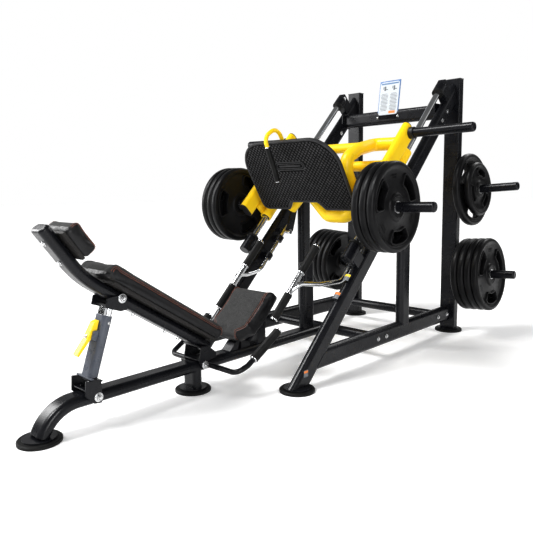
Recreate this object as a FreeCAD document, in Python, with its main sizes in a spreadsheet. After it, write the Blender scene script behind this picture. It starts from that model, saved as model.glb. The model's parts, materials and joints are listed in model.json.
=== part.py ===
import FreeCAD, Part
import math
import os
import Sketcher
from FreeCAD import Placement, Rotation, Vector

# Plate-loaded 45 degree leg press.
# Frame in millimetres: X runs across the machine ("left" is -X and "right" is +X), Y runs from the
# backrest end towards the weight uprights and Z is up.
# The origin is on the floor under the centre of the front foot, in the machine's mid-plane.
# Places beside the rails are given along a rail from the floor and above its centre line.

DIMENSIONS = [
    # flat-oval and rectangular frame tube
    ("oval_wide", 100), ("oval_thin", 50), ("tube_wall", 3), ("beam_level", 121),
    # sloping rails, guide rods and carriage
    ("rail_slope", 45), ("rail_side", 375), ("rail_foot_y", 1058),
    ("rod_radius", 18), ("rod_above", 129), ("rod_start", 700), ("rod_end", 2052),
    ("bow_radius", 35), ("arm_side", 420), ("arm_above", 250), ("arm_start", 905), ("arm_length", 630),
    # lengths and places of the base
    ("beam_end_y", 1707), ("front_cross_y", 1735), ("rear_cross_y", 2460), ("cross_radius", 28),
    ("sill_joint_y", 1680), ("mid_post_y", 2010), ("centre_post_y", 1586), ("centre_post_top", 520),
    ("upright_y", 2598), ("upright_top", 1614), ("top_beam_y", 2445), ("top_beam_level", 1402),
    ("top_beam_wide", 90),
    ("foot_radius", 85), ("foot_pad_height", 14), ("foot_plate_thickness", 6), ("middle_foot_y", 747),
    # pegs and weight plates
    ("peg_radius", 25), ("plate_radius", 225), ("plate_thickness", 42), ("plate_pitch", 43.5),
    ("small_plate_radius", 165), ("plate_bore_gap", 0.5),
    ("low_peg_level", 388), ("high_peg_level", 922), ("storage_tilt", 4), ("carriage_tilt", 1),
    ("low_peg_along", 949), ("high_peg_along", 1502),
    # footplate
    ("tread_width", 676), ("tread_height", 436), ("tread_thickness", 16), ("tread_skin", 5),
    ("tread_foot_y", 1600), ("tread_foot_z", 823), ("tread_lean", 31.3),
    ("tread_hinge_up", 120), ("tread_hinge_back", 62),
    # backrest, its strut and the seat
    ("back_slope", 33), ("head_slope", 54), ("hinge_y", 775), ("hinge_z", 128),
    ("strut_foot_y", 222), ("strut_foot_z", 128), ("strut_head_y", 348), ("strut_head_z", 511),
    ("back_pad_length", 697), ("back_pad_width", 270), ("back_pad_thickness", 64),
    ("head_pad_length", 146), ("head_pad_width", 212), ("head_pad_thickness", 68),
    ("seat_slope", 43), ("seat_length", 305), ("seat_width", 296), ("seat_thickness", 70),
    ("seat_top_y", 1161), ("seat_top_z", 446),
    # hand levers and handles
    ("bar_radius", 12.5), ("lever_bar_radius", 15), ("grip_radius", 21), ("shaft_side", 305),
    ("shaft_end", 1010), ("lever_bar_side", 205), ("lever_bar_above", 194),
    ("handle_side", 255), ("handle_y", 806), ("handle_slope", 31),
]

doc = FreeCAD.newDocument("leg_press")
sheet = doc.addObject("Spreadsheet::Sheet", "dims")
for row, (alias, value) in enumerate(DIMENSIONS, start=1):
    sheet.set(f"A{row}", alias)
    sheet.set(f"B{row}", str(value))
    sheet.setAlias(f"B{row}", alias)
doc.recompute()

X_AXIS, Y_AXIS, Z_AXIS = Vector(1, 0, 0), Vector(0, 1, 0), Vector(0, 0, 1)
nodes = []


def dim(alias):
    return float(sheet.get(alias))


def lean(degrees):
    """Unit vector in the mid-plane at an angle above the +Y direction."""
    return Vector(0, math.cos(math.radians(degrees)), math.sin(math.radians(degrees)))


SLOPE = dim("rail_slope")
ALONG = lean(SLOPE)
ABOVE = lean(SLOPE + 90)
RAIL_FOOT = Vector(0, dim("rail_foot_y"), 0)


def rail_point(across, along, above=0.0):
    return RAIL_FOOT + X_AXIS * across + ALONG * along + ABOVE * above


def aim(direction, base=Z_AXIS):
    """Rotation that turns the local +Z axis to a direction, keeping +X level where it can."""
    direction = Vector(direction).normalize()
    if abs(direction.x) < 1e-9:
        return Rotation(X_AXIS, math.degrees(math.atan2(-direction.y, direction.z)))
    return Rotation(base, direction)


def keep(item, label):
    """Name a finished sub-part, which is then written to its own file."""
    item.Label = label
    nodes.append(item)
    return item


def solid_node(label, *shapes):
    """A sub-part of one or more solids made with Part's own functions."""
    item = doc.addObject("Part::Feature", label)
    item.Shape = shapes[0] if len(shapes) == 1 else Part.makeCompound(list(shapes))
    item.Placement = Placement()
    return keep(item, label)


# ---------------------------------------------------------------- sketches and bodies

def origin_plane(body, role):
    return next(feature for feature in body.Origin.OriginFeatures if feature.Role == role)


def new_sketch(body, name, role="XY_Plane", lift=0.0):
    sketch = body.newObject("Sketcher::SketchObject", name)
    sketch.AttachmentSupport = [(origin_plane(body, role), "")]
    sketch.MapMode = "FlatFace"
    sketch.AttachmentOffset = Placement(Vector(0, 0, lift), Rotation())
    return sketch


def bind(sketch, index, name, expression):
    sketch.renameConstraint(index, name)
    sketch.setExpression(f"Constraints.{name}", expression)


def oval_loop(sketch, wide, thin, tag, inset="0"):
    """A flat-oval loop about the sketch origin, long along the sketch's own X axis."""
    radius = 20.0
    half = 25.0
    first = len(sketch.Geometry)
    circle = lambda x: Part.Circle(Vector(x, 0, 0), Z_AXIS, radius)
    sketch.addGeometry([
        Part.ArcOfCircle(circle(half), -math.pi / 2, math.pi / 2),
        Part.LineSegment(Vector(half, radius, 0), Vector(-half, radius, 0)),
        Part.ArcOfCircle(circle(-half), math.pi / 2, 3 * math.pi / 2),
        Part.LineSegment(Vector(-half, -radius, 0), Vector(half, -radius, 0))], False)
    right, top, left, bottom = range(first, first + 4)
    for here, there in ((right, top), (top, left), (left, bottom), (bottom, right)):
        sketch.addConstraint(Sketcher.Constraint("Tangent", here, 2, there, 1))
    sketch.addConstraint(Sketcher.Constraint("Horizontal", top))
    sketch.addConstraint(Sketcher.Constraint("Equal", right, left))
    sketch.addConstraint(Sketcher.Constraint("Symmetric", right, 3, left, 3, -1, 1))
    size = sketch.addConstraint(Sketcher.Constraint("Radius", right, radius))
    bind(sketch, size, f"{tag}_radius", f"{thin} / 2 - {inset}")
    span = sketch.addConstraint(Sketcher.Constraint("DistanceX", left, 3, right, 3, 2 * half))
    bind(sketch, span, f"{tag}_span", f"{wide} - {thin}")


def oval_tube(name, length, position, rotation, wide="dims.oval_wide", thin="dims.oval_thin"):
    """Hollow flat-oval tube along its local +Z, wide along its local X."""
    body = doc.addObject("PartDesign::Body", name)
    sketch = new_sketch(body, f"{name}_section")
    oval_loop(sketch, wide, thin, "outer")
    oval_loop(sketch, wide, thin, "inner", "dims.tube_wall")
    pad = body.newObject("PartDesign::Pad", f"{name}_length")
    pad.Profile = sketch
    pad.setExpression("Length", length)
    body.Placement = Placement(position, rotation)
    return body


def cut_from(label, base, *tools):
    """A tube coped to fit the tubes that it is welded to."""
    doc.recompute()
    cutter = doc.addObject("Part::Feature", f"{label}_cope")
    cutter.Shape = Part.makeCompound([tool for tool in tools])
    cut = doc.addObject("Part::Cut", label)
    cut.Base = base
    cut.Tool = cutter
    return keep(cut, label)


# ---------------------------------------------------------------- shapes

def box_between(low, high):
    size = Vector(high) - Vector(low)
    return Part.makeBox(size.x, size.y, size.z, Vector(low))


def oval_wire(wide, thin):
    """Flat-oval wire about the origin of the XY plane."""
    half, radius = (wide - thin) / 2, thin / 2
    corners = [Vector(half, -radius, 0), Vector(half, radius, 0),
               Vector(-half, radius, 0), Vector(-half, -radius, 0)]
    return Part.Wire([
        Part.Arc(corners[0], Vector(half + radius, 0, 0), corners[1]).toShape(),
        Part.LineSegment(corners[1], corners[2]).toShape(),
        Part.Arc(corners[2], Vector(-half - radius, 0, 0), corners[3]).toShape(),
        Part.LineSegment(corners[3], corners[0]).toShape()])


def oval_bar(wide, thin, start, end, roll=0.0):
    """Solid flat-oval bar from one point to another, used to cope the tubes that meet it."""
    run = end - start
    bar = Part.Face(oval_wire(wide, thin)).extrude(Z_AXIS * run.Length)
    bar.rotate(Vector(), Z_AXIS, roll)
    bar.Placement = Placement(start, aim(run)).multiply(bar.Placement)
    return bar


def rounded_path(points, radii):
    """Straight runs joined by tangent arcs, one radius for each inner point."""
    edges = []
    last = points[0]
    for index in range(1, len(points) - 1):
        corner = points[index]
        back = (points[index - 1] - corner).normalize()
        forth = (points[index + 1] - corner).normalize()
        half_turn = (math.pi - back.getAngle(forth)) / 2
        reach = radii[index - 1] * math.tan(half_turn)
        enter, leave = corner + back * reach, corner + forth * reach
        bisector = (back + forth).normalize()
        centre = corner + bisector * (radii[index - 1] / math.cos(half_turn))
        middle = centre - bisector * radii[index - 1]
        if (enter - last).Length > 1e-6:
            edges.append(Part.LineSegment(last, enter).toShape())
        edges.append(Part.Arc(enter, middle, leave).toShape())
        last = leave
    edges.append(Part.LineSegment(last, points[-1]).toShape())
    return Part.Wire(edges)


def swept(path, outer, inner=None):
    """A section swept along a path: the section is drawn in XY with +Z as the path's start."""
    start = path.OrderedEdges[0]
    heading = start.tangentAt(start.FirstParameter)
    origin = start.valueAt(start.FirstParameter)

    def run(section):
        section = section.copy()
        section.Placement = Placement(origin, aim(heading)).multiply(section.Placement)
        return path.makePipeShell([section], True, False)

    return run(outer) if inner is None else run(outer).cut(run(inner))


def round_wire(radius):
    return Part.Wire(Part.makeCircle(radius))


def bent_bar(points, radii, radius):
    return swept(rounded_path(points, radii), round_wire(radius))


def disc(radius, thickness, centre, axis, bore=0.0):
    """Round solid from a centre point along an axis, with an optional bore."""
    shape = Part.makeCylinder(radius, thickness, centre, axis)
    if bore:
        shape = shape.cut(Part.makeCylinder(bore, thickness, centre, axis))
    return shape


def side_plate(outline, across, thickness):
    """Flat plate of a mid-plane outline, centred on a distance across the machine."""
    wire = Part.makePolygon([Vector(across - thickness / 2, p.y, p.z) for p in outline + outline[:1]])
    return Part.Face(wire).extrude(X_AXIS * thickness)


def mirrored(shape):
    return shape.mirror(Vector(), X_AXIS)


def both_sides(shape):
    return [shape, mirrored(shape)]


# ---------------------------------------------------------------- base frame

def build_centre_beam():
    """Flat-oval beam laid flat, its front end bent down to the front foot."""
    wide, thin, wall = dim("oval_wide"), dim("oval_thin"), dim("tube_wall")
    level, sole = dim("beam_level"), dim("foot_pad_height") + dim("foot_plate_thickness")
    drop = math.radians(68)
    radius = (level - sole) / (1 - math.cos(drop))
    bend_y = radius * math.sin(drop)
    arc = Part.Arc(Vector(0, 0, sole), Vector(0, bend_y - radius * math.sin(drop / 2),
                   level - radius * (1 - math.cos(drop / 2))), Vector(0, bend_y, level))
    end = Vector(0, dim("beam_end_y"), level)
    path = Part.Wire([arc.toShape(), Part.LineSegment(Vector(0, bend_y, level), end).toShape()])
    tube = swept(path, oval_wire(wide, thin), oval_wire(wide - 2 * wall, thin - 2 * wall))
    bolts = [Part.makeCylinder(8.2, 2 * wide, Vector(-wide, dim(f"{name}_y"), dim(f"{name}_z")), X_AXIS)
             for name in ("hinge", "strut_foot")]
    below = box_between(Vector(-wide, -wide, 0), Vector(wide, wide, sole))
    solid_node("centre_beam", tube.cut(Part.makeCompound(bolts)).cut(below))


def build_rails():
    """The two sloping rails, cut level at the foot and upright at the rear."""
    sole = dim("foot_pad_height") + dim("foot_plate_thickness")
    rear_y = dim("upright_y") - dim("oval_thin") / 2
    for label, side in (("left_rail", -1), ("right_rail", 1)):
        start = rail_point(side * dim("rail_side"), -60)
        rotation = aim(ALONG).multiply(Rotation(Z_AXIS, 90))
        body = oval_tube(f"{label}_tube", "2420", start, rotation)
        below = box_between(Vector(-500, 800, -200), Vector(500, 1400, sole))
        behind = box_between(Vector(-500, rear_y, 1200), Vector(500, rear_y + 400, 1900))
        cut_from(label, body, below, behind)


def rail_outer(side):
    across = side * dim("rail_side")
    return oval_bar(dim("oval_wide"), dim("oval_thin"), rail_point(across, -60),
                    rail_point(across, 2400), 90)


def sill_outer(side):
    across, level = side * dim("rail_side"), dim("beam_level")
    return oval_bar(dim("oval_wide"), dim("oval_thin"), Vector(across, 1100, level),
                    Vector(across, dim("upright_y") - dim("oval_thin") / 2, level), 90)


def hollow_oval(start, end, roll=0.0):
    wide, thin, wall = dim("oval_wide"), dim("oval_thin"), dim("tube_wall")
    return oval_bar(wide, thin, start, end, roll).cut(
        oval_bar(wide - 2 * wall, thin - 2 * wall, start, end, roll))


def build_sills():
    """Side beams: a front length welded to each rail and a rear length bolted on behind it."""
    level, joint_y = dim("beam_level"), dim("sill_joint_y")
    rear_y = dim("upright_y") - dim("oval_thin") / 2
    front, rear = [], []
    for side in (-1, 1):
        across = side * dim("rail_side")
        tube = hollow_oval(Vector(across, 1150, level), Vector(across, joint_y, level), 90)
        beyond = tube.cut(rail_outer(side)).Solids
        front.append(max(beyond, key=lambda solid: solid.BoundBox.YMax))
        rear.append(hollow_oval(Vector(across, joint_y, level), Vector(across, rear_y, level), 90))
    solid_node("front_sills", *front)
    solid_node("rear_sills", *rear)


def build_cross_tubes():
    """Round tubes across the base, between the side beams."""
    reach = dim("rail_side")
    tubes = []
    for y in (dim("front_cross_y"), dim("rear_cross_y")):
        start = Vector(-reach, y, dim("beam_level"))
        tube = disc(dim("cross_radius"), 2 * reach, start, X_AXIS, dim("cross_radius") - dim("tube_wall"))
        tubes.append(tube.cut(Part.makeCompound([sill_outer(-1), sill_outer(1)])).Solids[0])
    solid_node("cross_tubes", *tubes)


def build_posts():
    """Posts from each side beam to its rail, and the short post on the centre beam."""
    level = dim("beam_level")
    posts = []
    for side in (-1, 1):
        across = side * dim("rail_side")
        foot, head = Vector(across, dim("mid_post_y"), level), Vector(across, dim("mid_post_y"), 950)
        post = hollow_oval(foot, head, 90)
        pieces = post.cut(Part.makeCompound([rail_outer(side), sill_outer(side)])).Solids
        posts.append(max(pieces, key=lambda solid: solid.Volume))
    base = Vector(0, dim("centre_post_y"), level)
    top = Vector(0, dim("centre_post_y"), dim("centre_post_top"))
    beam = oval_bar(dim("oval_wide"), dim("oval_thin"), Vector(0, 1000, level), Vector(0, 1800, level))
    posts.append(max(hollow_oval(base, top, 90).cut(beam).Solids, key=lambda s: s.Volume))
    solid_node("posts", *posts)


def build_uprights():
    """Rear uprights of rectangular tube."""
    width, depth, wall = dim("oval_wide"), dim("oval_thin"), dim("tube_wall")
    sole = dim("foot_pad_height") + dim("foot_plate_thickness")
    y, top = dim("upright_y"), dim("upright_top")
    uprights = []
    for side in (-1, 1):
        across = side * dim("rail_side")
        outer = box_between(Vector(across - width / 2, y - depth / 2, sole),
                            Vector(across + width / 2, y + depth / 2, top - 4))
        outer = outer.makeFillet(6, [edge for edge in outer.Edges if edge.BoundBox.ZLength > 1000])
        inner = box_between(Vector(across - width / 2 + wall, y - depth / 2 + wall, sole),
                            Vector(across + width / 2 - wall, y + depth / 2 - wall, top - 4))
        uprights.append(outer.cut(inner))
    solid_node("uprights", *uprights)


def build_top_beam():
    """Flat-oval beam between the rails near their top."""
    y, level, flange = dim("top_beam_y"), dim("top_beam_level"), 6.0
    inside = dim("rail_side") - dim("oval_thin") / 2
    wide, thin, wall = dim("top_beam_wide"), dim("oval_thin"), dim("tube_wall")
    left, right = Vector(-inside, y, level), Vector(inside, y, level)
    tube = oval_bar(wide, thin, left, right).cut(oval_bar(wide - 2 * wall, thin - 2 * wall, left, right))
    plate = box_between(Vector(inside - flange, y - 48, level - 50), Vector(inside, y + 40, level + 50))
    plate = plate.makeFillet(10, [edge for edge in plate.Edges if edge.BoundBox.XLength > flange / 2])
    solid_node("top_beam", tube.fuse(both_sides(plate)).removeSplitter())


def foot_places():
    """Floor positions of the six feet."""
    side = dim("rail_side")
    places = [Vector(0, 0, 0), Vector(0, dim("middle_foot_y"), 0)]
    for y in (dim("rail_foot_y") + 12, dim("upright_y")):
        places += [Vector(-side, y, 0), Vector(side, y, 0)]
    return places


def build_feet():
    """Rubber discs with a steel weld plate on each, and the post over the middle foot."""
    pad_height, plate = dim("foot_pad_height"), dim("foot_plate_thickness")
    pads, plates = [], []
    for place in foot_places():
        pad = Part.makeCylinder(dim("foot_radius"), pad_height, place)
        pads.append(pad.makeChamfer(4, [edge for edge in pad.Edges if edge.BoundBox.ZMin > pad_height - 1]))
        plates.append(Part.makeCylinder(dim("foot_radius") - 20, plate, place + Z_AXIS * pad_height))
    solid_node("foot_pads", *pads)
    base = Vector(0, dim("middle_foot_y"), pad_height + plate)
    post = hollow_oval(base, Vector(base.x, base.y, dim("beam_level")))
    beam = oval_bar(dim("oval_wide"), dim("oval_thin"), Vector(0, 600, dim("beam_level")),
                    Vector(0, 900, dim("beam_level")))
    plates[1] = plates[1].fuse(max(post.cut(beam).Solids, key=lambda s: s.Volume))
    solid_node("foot_plates", *plates)


# ---------------------------------------------------------------- guide rods and storage pegs

def build_guides():
    """Chrome rods above the rails, their sockets, brackets and rubber bumpers."""
    side, above, radius = dim("rail_side"), dim("rod_above"), dim("rod_radius")
    start, end = dim("rod_start"), dim("rod_end")
    socket_end, bumper, ring = 790.0, 14.0, 34.0
    rods, sockets, brackets, bumpers = [], [], [], []
    rod = Part.makeCylinder(radius, end - start, rail_point(side, start, above), ALONG)
    socket = Part.makeCylinder(31, socket_end - start + 8, rail_point(side, start - 8, above), ALONG)
    web = side_plate([rail_point(0, start + 12, 40), rail_point(0, socket_end - 6, 40),
                      rail_point(0, socket_end - 6, above), rail_point(0, start + 12, above)], side, 40)
    socket = socket.fuse(web).cut(rail_outer(1)).cut(rod)
    collar = Part.makeCylinder(ring, 52, rail_point(side, end - 44, above), ALONG)
    arm = side_plate([rail_point(0, end - 30, 40), rail_point(0, end + 46, 40),
                      rail_point(0, end + 46, above + 24), rail_point(0, end - 8, above + 24),
                      rail_point(0, end - 30, above)], side, 46)
    rear_y = dim("upright_y") - dim("oval_thin") / 2
    gusset = side_plate([rail_point(0, end + 30, 48), Vector(0, rear_y, 1596), Vector(0, rear_y, 1500),
                         rail_point(0, end - 30, 40)], side, 12)
    bracket = collar.fuse(arm).fuse(gusset).cut(rail_outer(1)).cut(rod)
    low_ring = disc(ring + 2, bumper, rail_point(side, socket_end, above), ALONG, radius + 0.2)
    high_ring = disc(ring, bumper, rail_point(side, end - 44 - bumper, above), ALONG, radius + 0.2)
    for shape, group in ((rod, rods), (max(socket.Solids, key=lambda s: s.Volume), sockets),
                         (max(bracket.Solids, key=lambda s: s.Volume), brackets),
                         (low_ring, bumpers), (high_ring, bumpers)):
        group += both_sides(shape)
    solid_node("guide_rods", *rods)
    solid_node("rod_sockets", *sockets)
    solid_node("rod_top_brackets", *brackets)
    solid_node("rod_bumpers", *bumpers)


def peg_shape(root, axis, length):
    """Round weight peg with a domed tip."""
    radius = dim("peg_radius")
    peg = Part.makeCylinder(radius, length - 10, root, axis)
    tip = Part.makeCylinder(radius, 10, root + axis * (length - 10), axis)
    outer = [edge for edge in tip.Edges if (edge.CenterOfMass - root).Length > length - 2
             and edge.Closed]
    return peg.fuse(tip.makeFillet(9, outer)).removeSplitter()


def storage_axis():
    tilt = math.radians(dim("storage_tilt"))
    return Vector(math.cos(tilt), 0, math.sin(tilt))


def carriage_axis():
    tilt = math.radians(dim("carriage_tilt"))
    return Vector(math.cos(tilt), 0, math.sin(tilt))


def storage_root(level_alias):
    """Where a storage peg leaves the outer face of its upright."""
    return Vector(dim("rail_side") + dim("oval_wide") / 2, dim("upright_y"), dim(level_alias) - 5)


def build_storage_pegs():
    """Four plate pegs on the uprights, each with a root flange and a spacer."""
    pegs = []
    wall = box_between(Vector(0, 2400, 0), Vector(dim("rail_side") + dim("oval_wide") / 2, 2800, 1600))
    for alias in ("low_peg_level", "high_peg_level"):
        root, axis = storage_root(alias), storage_axis()
        peg = peg_shape(root - axis * 6, axis, 376)
        flange = Part.makeCylinder(44, 18, root - axis * 6, axis)
        spacer = Part.makeCylinder(31, 57, root - axis * 6, axis)
        pegs += both_sides(peg.fuse(flange).fuse(spacer).cut(wall).removeSplitter())
    solid_node("storage_pegs", *pegs)


# ---------------------------------------------------------------- weight plates

def plate_body(name, radius):
    """Rubber weight plate with a raised rim and hub and three hand-holes, about its local Z."""
    thickness, bore = dim("plate_thickness"), dim("peg_radius") + dim("plate_bore_gap")
    hub, web = radius * 0.30, thickness * 0.22
    rim = radius - max(26.0, radius * 0.13)
    body = doc.addObject("PartDesign::Body", name)
    section = new_sketch(body, f"{name}_section", "XZ_Plane")
    profile = [(bore, 0), (hub, 0), (hub + 8, web), (rim - 8, web), (rim, 0), (radius - 9, 0), (radius, 9),
               (radius, thickness - 9), (radius - 9, thickness), (rim, thickness),
               (rim - 8, thickness - web), (hub + 8, thickness - web), (hub, thickness), (bore, thickness)]
    corners = [Vector(x, y, 0) for x, y in profile]
    section.addGeometry([Part.LineSegment(a, b) for a, b in zip(corners, corners[1:] + corners[:1])], False)
    turn = body.newObject("PartDesign::Revolution", f"{name}_turned")
    turn.Profile = section
    turn.ReferenceAxis = (section, ["V_Axis"])
    turn.Angle = 360
    doc.recompute()
    hole = new_sketch(body, f"{name}_hand_hole", "XY_Plane", -5.0)
    inner, outer, spread = hub + 50, rim - 14, math.radians(31)
    ring = lambda r: Part.Circle(Vector(), Z_AXIS, r)
    spot = lambda r, a: Vector(r * math.cos(a), r * math.sin(a), 0)
    side_low, side_high = math.pi / 2 - spread, math.pi / 2 + spread
    hole.addGeometry([
        Part.ArcOfCircle(ring(outer), side_low, side_high),
        Part.LineSegment(spot(outer, side_high), spot(inner, side_high)),
        Part.ArcOfCircle(ring(inner), side_low, side_high),
        Part.LineSegment(spot(inner, side_low), spot(outer, side_low))], False)
    pocket = body.newObject("PartDesign::Pocket", f"{name}_hand_holes")
    pocket.Profile = hole
    pocket.Type = 0
    pocket.Length = thickness + 20
    pocket.Reversed = True
    doc.recompute()
    pattern = body.newObject("PartDesign::PolarPattern", f"{name}_three_holes")
    pattern.Originals = [pocket]
    pattern.Axis = (hole, ["N_Axis"])
    pattern.Angle = 360
    pattern.Occurrences = 3
    body.Tip = pattern
    doc.recompute()
    return body


def build_plates():
    """Six stacks of plates, each threaded on its peg."""
    pitch = dim("plate_pitch")
    large = plate_body("large_plate", dim("plate_radius")).Shape.copy()
    small = plate_body("small_plate", dim("small_plate_radius")).Shape.copy()

    def stack(label, root, axis, first, plates, side):
        shapes = []
        for index, (plate, turn) in enumerate(plates):
            shape = plate.copy()
            place = root + axis * (first + index * pitch)
            facing = Rotation(Z_AXIS, axis).multiply(Rotation(Z_AXIS, turn))
            shape.Placement = Placement(place, facing)
            shapes.append(shape if side > 0 else mirrored(shape))
        solid_node(label, *shapes)

    gap = 59.0
    for word, side in (("left", -1), ("right", 1)):
        for label, alias, plates in (
                (f"{word}_upper_plates", "high_peg_level", [(large, 20), (small, 75)]),
                (f"{word}_lower_plates", "low_peg_level",
                 [(large, turn) for turn in ((10, 50, 85, 30, 62) if side < 0 else (40, 5, 80, 28))])):
            stack(label, storage_root(alias), storage_axis(), gap, plates, side)
        stack(f"{word}_carriage_plates", carriage_root(dim("low_peg_along")), carriage_axis(), 40.0,
              [(large, turn) for turn in ((12, 70, 38) if side > 0 else (55, 20, 88))], side)


# ---------------------------------------------------------------- carriage

def carriage_root(along):
    """Where a carriage peg leaves the outer face of its arm."""
    return rail_point(dim("arm_side") + dim("oval_thin") / 2, along, dim("arm_above"))


def arm_outer(side):
    across, above = side * dim("arm_side"), dim("arm_above")
    return oval_bar(dim("oval_wide"), dim("oval_thin"), rail_point(across, dim("arm_start"), above),
                    rail_point(across, dim("arm_start") + dim("arm_length"), above), 90)


def build_arms():
    """The carriage's two side arms, parallel to the rails and outside them."""
    rotation = aim(ALONG).multiply(Rotation(Z_AXIS, 90))
    for label, side in (("left_arm", -1), ("right_arm", 1)):
        start = rail_point(side * dim("arm_side"), dim("arm_start"), dim("arm_above"))
        body = oval_tube(label, "dims.arm_length", start, rotation)
        keep(body, label)


LOW_TUBE = (1080, 250)


def build_carriage_frame():
    """Cross tubes, bows and lower arch that tie the arms together behind the footplate."""
    arms = Part.makeCompound([arm_outer(-1), arm_outer(1)])
    reach, above, radius = dim("arm_side"), dim("arm_above"), dim("cross_radius")
    tubes, outers = [], []
    for along, height in ((1412, above), (1252, above), LOW_TUBE):
        start = rail_point(-reach, along, height)
        outers.append(Part.makeCylinder(radius, 2 * reach, start, X_AXIS))
        tubes.append(disc(radius, 2 * reach, start, X_AXIS, radius - dim("tube_wall")))
    tubes = [max(tube.cut(arms).Solids, key=lambda s: s.Volume) for tube in tubes]
    solid_node("carriage_tubes", *tubes)
    bow_side = 275
    course = [(reach, 1408, 262), (bow_side, 1396, 276), (bow_side, 1268, 360), (bow_side, 1150, 404),
              (bow_side, 1104, 345), (bow_side, LOW_TUBE[0], LOW_TUBE[1])]
    points = [rail_point(across, along, height) for across, along, height in course]
    bow = bent_bar(points, [44, 90, 60, 40], dim("bow_radius"))
    bow = max(bow.cut(arms).cut(outers[0]).cut(outers[2]).Solids, key=lambda s: s.Volume)
    solid_node("carriage_bows", *both_sides(bow))


def build_arch():
    """Bent tube under the footplate's notch, welded to the lowest cross tube and the right-hand bow."""
    radius, y = 34.0, 1664.0
    points = [Vector(-178, y, 828), Vector(-96, y, 908), Vector(-24, y, 908), Vector(98, y, 787),
              Vector(226, y, 787), Vector(276, y, 834)]
    arch = bent_bar(points, [50, 50, 60, 60], radius)
    tube = Part.makeCylinder(dim("cross_radius"), 800, rail_point(-400, LOW_TUBE[0], LOW_TUBE[1]), X_AXIS)
    solid_node("carriage_arch", max(arch.cut(tube).Solids, key=lambda s: s.Volume))


def build_bearings():
    """Linear bearing housings on the guide rods, with their bushes."""
    side, above, radius = dim("rail_side"), dim("rod_above"), dim("rod_radius")
    housings, bushes = [], []
    for along in (960, 1387):
        bush = disc(radius + 8, 96, rail_point(side, along + 2, above), ALONG, radius + 0.06)
        shell = Part.makeCylinder(radius + 16, 100, rail_point(side, along, above), ALONG)
        web = side_plate([rail_point(0, along + 8, above), rail_point(0, along + 92, above),
                          rail_point(0, along + 92, above + 82), rail_point(0, along + 8, above + 82)],
                         side + 22, 14)
        shell = shell.fuse(web).cut(arm_outer(1))
        shell = shell.cut(Part.makeCylinder(radius + 8, 100, rail_point(side, along, above), ALONG))
        housings += both_sides(max(shell.Solids, key=lambda s: s.Volume))
        bushes += both_sides(bush)
    solid_node("bearing_housings", *housings)
    solid_node("bearing_bushes", *bushes)


def build_carriage_pegs():
    """Four weight pegs on the arms with plastic collars round their necks, and the arms' end caps."""
    pegs, caps = [], []
    neck_radius = dim("peg_radius") - 1
    thin = dim("oval_thin")
    axis = carriage_axis()
    for along in (dim("low_peg_along"), dim("high_peg_along")):
        root = carriage_root(along)
        neck = disc(dim("peg_radius") + 1, 35, root - axis * 8, axis, neck_radius)
        peg = peg_shape(root - axis * 2, axis, 366).cut(arm_outer(1)).cut(neck)
        pegs += both_sides(max(peg.Solids, key=lambda s: s.Volume))
        collar = disc(32, 26, root + axis * 1.0, axis, neck_radius)
        caps += both_sides(collar)
    for along, depth in ((dim("arm_start") - 5, 5), (dim("arm_start") + dim("arm_length"), 5)):
        centre = rail_point(dim("arm_side"), along, dim("arm_above"))
        caps += both_sides(oval_bar(dim("oval_wide") - 2, thin - 2, centre, centre + ALONG * depth, 90))
    solid_node("carriage_pegs", *pegs)
    solid_node("carriage_caps", *caps)


def build_stop_hooks():
    """Plates under the lower cross tube that come down on the safety levers' stop pegs."""
    inside = dim("shaft_side") - 24
    hook = side_plate([rail_point(0, 1262, 225), rail_point(0, 1236, 225), rail_point(0, 1190, 120),
                       rail_point(0, 966.4, 8), rail_point(0, 966.4, -32), rail_point(0, 1000, -32),
                       rail_point(0, 1250, 100), rail_point(0, 1290, 225)], inside, 14)
    tube = Part.makeCylinder(dim("cross_radius"), 900, rail_point(-450, 1252, dim("arm_above")), X_AXIS)
    hook = max(hook.cut(tube).Solids, key=lambda s: s.Volume)
    solid_node("stop_hooks", *both_sides(hook))


# ---------------------------------------------------------------- footplate and its lever

UP_TREAD = Vector(0, -math.sin(math.radians(dim("tread_lean"))), math.cos(math.radians(dim("tread_lean"))))
BEHIND_TREAD = Vector(0, math.cos(math.radians(dim("tread_lean"))), math.sin(math.radians(dim("tread_lean"))))


def tread_point(across, up, behind=0.0):
    """A place on the footplate: up its front face from the lower edge, and behind that face."""
    foot = Vector(across, dim("tread_foot_y"), dim("tread_foot_z"))
    return foot + UP_TREAD * up + BEHIND_TREAD * behind


def footplate_outline(sketch, inset):
    """The footplate's outline, drawn an inset inside its edge: large upper corners, a notch below."""
    corner, heel = 165.0 - inset, 46.0 - inset
    half, top, foot = dim("tread_width") / 2 - inset, dim("tread_height") - inset, float(inset)
    notch, sill, depth = 92.0 + inset, 133.0 + inset, 50.0 + inset
    quarter = math.pi / 2
    points = [Vector(half, foot + heel, 0), Vector(half, top - corner, 0), Vector(half - corner, top, 0),
              Vector(corner - half, top, 0), Vector(-half, top - corner, 0), Vector(-half, foot + heel, 0),
              Vector(heel - half, foot, 0), Vector(-sill, foot, 0), Vector(-notch, depth, 0),
              Vector(notch, depth, 0), Vector(sill, foot, 0), Vector(half - heel, foot, 0)]
    line = lambda a, b: Part.LineSegment(points[a], points[b])
    arc = lambda x, y, r, turn: Part.ArcOfCircle(Part.Circle(Vector(x, y, 0), Z_AXIS, r),
                                                 turn * quarter, (turn + 1) * quarter)
    sketch.addGeometry([
        line(0, 1), arc(half - corner, top - corner, corner, 0), line(2, 3),
        arc(corner - half, top - corner, corner, 1), line(4, 5), arc(heel - half, foot + heel, heel, 2),
        line(6, 7), line(7, 8), line(8, 9), line(9, 10), line(10, 11),
        arc(half - heel, foot + heel, heel, 3)], False)


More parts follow.
